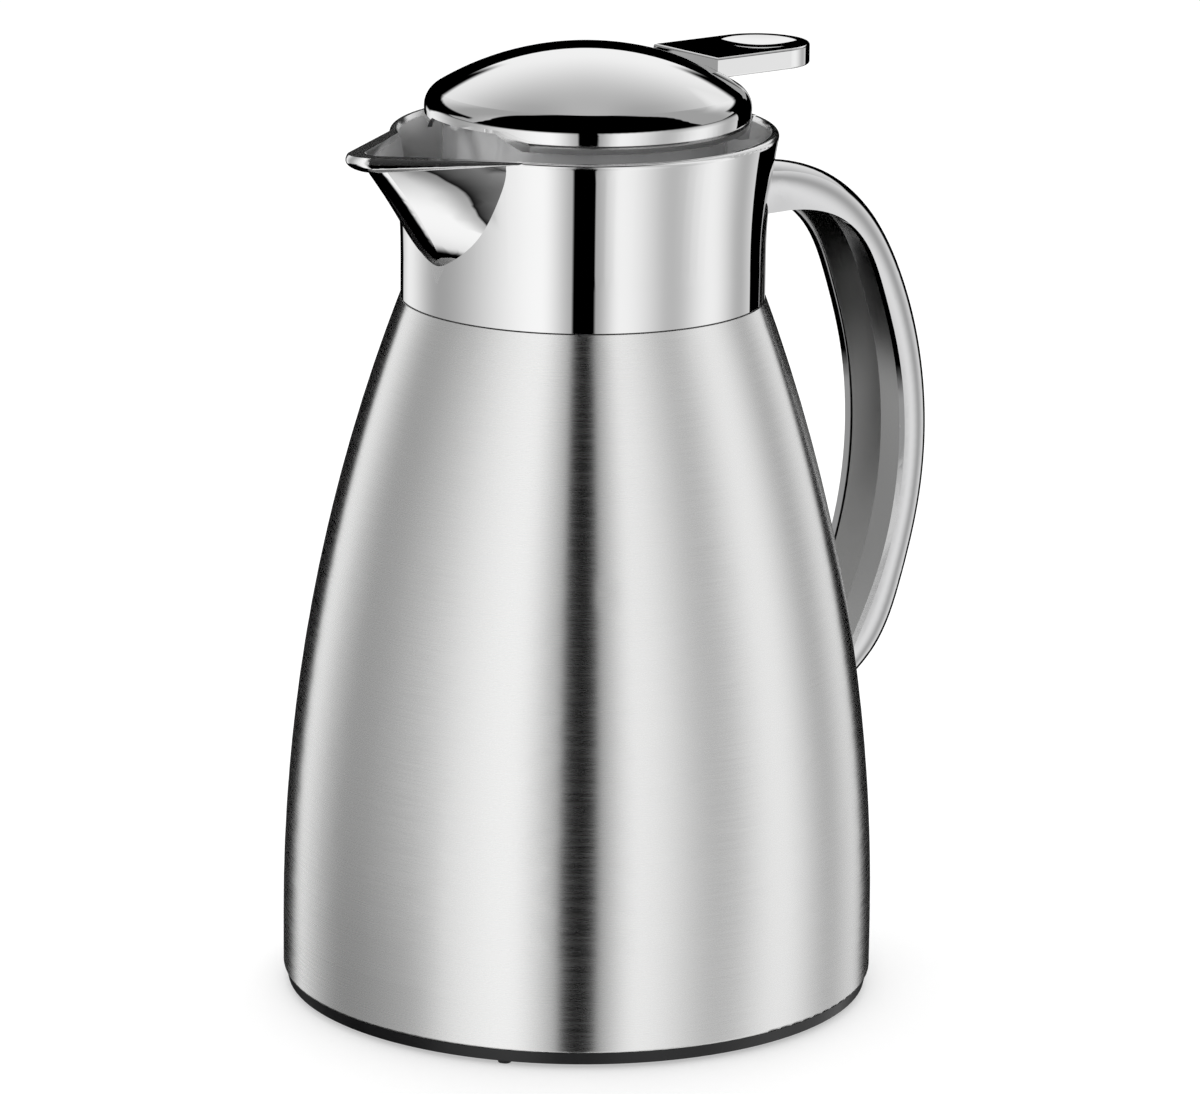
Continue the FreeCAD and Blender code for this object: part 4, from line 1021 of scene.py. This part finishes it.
@dataclass
class Floor:
    """The pale floor that the jug stands on."""

    size: float = 9.0
    colour: float = 0.62
    glow: float = 0.45

    def build(self) -> None:
        """Makes the floor and hides it from glossy rays."""
        Bench.clear()
        bpy.ops.mesh.primitive_plane_add(size=self.size, location=(0.0, 0.0, 0.0))
        floor = bpy.context.object
        floor.name = "studio_floor"
        material = bpy.data.materials.new("pale_floor")
        material.use_nodes = True
        tree = Tree(material.node_tree)
        matt = tree.add("ShaderNodeBsdfDiffuse")
        matt.inputs["Color"].default_value = (self.colour, self.colour, self.colour, 1.0)
        glow = tree.add("ShaderNodeEmission")
        rays = tree.add("ShaderNodeLightPath")
        tree.join(tree.math("MULTIPLY", rays.outputs["Is Camera Ray"], self.glow), glow.inputs["Strength"])
        both = tree.add("ShaderNodeAddShader")
        tree.join(matt.outputs["BSDF"], both.inputs[0])
        tree.join(glow.outputs["Emission"], both.inputs[1])
        output = tree.add("ShaderNodeOutputMaterial")
        tree.join(both.outputs["Shader"], output.inputs["Surface"])
        floor.data.materials.append(material)
        floor.visible_glossy = False
        LOG.info("studio_floor: %.1f m", self.size)


@dataclass
class TopLamp:
    """A soft lamp above the jug, which gives the floor its shadow."""

    place: tuple[float, float, float] = (0.25, 0.35, 1.6)
    aim: tuple[float, float, float] = (0.0, 0.0, 0.1)
    size: float = 1.4
    power: float = 14.0

    def build(self) -> None:
        """Makes the lamp and turns it to the jug."""
        lamp = bpy.data.lights.new("top_lamp", "AREA")
        lamp.shape = "SQUARE"
        lamp.size = self.size
        lamp.energy = self.power
        holder = bpy.data.objects.new("top_lamp", lamp)
        bpy.context.scene.collection.objects.link(holder)
        holder.location = self.place
        way = Vector(self.aim) - Vector(self.place)
        holder.rotation_euler = way.to_track_quat("-Z", "Y").to_euler()
        holder.visible_glossy = False
        LOG.info("top_lamp: %.1f W", self.power)


@dataclass
class Viewpoint:
    """The camera at the photograph's place."""

    distance: float = 1.45354
    height: float = 0.48297
    turned: float = 0.183
    pitch: float = 14.551
    roll: float = 0.612
    focal_pixels: float = 6376.56
    sensor: float = 36.0
    sight_end: float = 30.0

    def build(self) -> None:
        """Makes the camera and sets it as the scene's."""
        side = math.radians(CAMERA_SIDE)
        turn = math.radians(CAMERA_SIDE + self.turned)
        dip = math.radians(self.pitch)
        lean = math.radians(self.roll)
        level = Vector((math.sin(turn), math.cos(turn), 0.0))
        right = Vector((math.cos(turn), -math.sin(turn), 0.0))
        above = Vector((0.0, 0.0, 1.0))
        forward = level * math.cos(dip) - above * math.sin(dip)
        up = level * math.sin(dip) + above * math.cos(dip)
        leaned_right = right * math.cos(lean) + up * math.sin(lean)
        leaned_up = up * math.cos(lean) - right * math.sin(lean)
        data = bpy.data.cameras.new("viewpoint")
        data.sensor_width = self.sensor
        data.lens = self.sensor * self.focal_pixels / IMAGE_WIDTH
        data.clip_end = self.sight_end
        camera = bpy.data.objects.new("viewpoint", data)
        bpy.context.scene.collection.objects.link(camera)
        pose = Matrix((leaned_right, leaned_up, -forward)).transposed().to_4x4()
        pose.translation = Vector(
            (-self.distance * math.sin(side), -self.distance * math.cos(side), self.height)
        )
        camera.matrix_world = pose
        bpy.context.scene.camera = camera
        LOG.info("viewpoint: %.0f mm lens", data.lens)


def main() -> None:
    """Dresses the jug and sets up the studio around it."""
    logging.basicConfig(level=logging.INFO, format="%(message)s")
    bpy.context.scene.view_settings.view_transform = "Standard"
    rack = FinishRack()
    for assembly in (Flask(), Base(), Collar(), Handle(), Lid(), Seal()):
        assembly.dress(rack)
    Studio().build()
    Floor().build()
    TopLamp().build()
    Viewpoint().build()


if __name__ == "__main__":
    main()
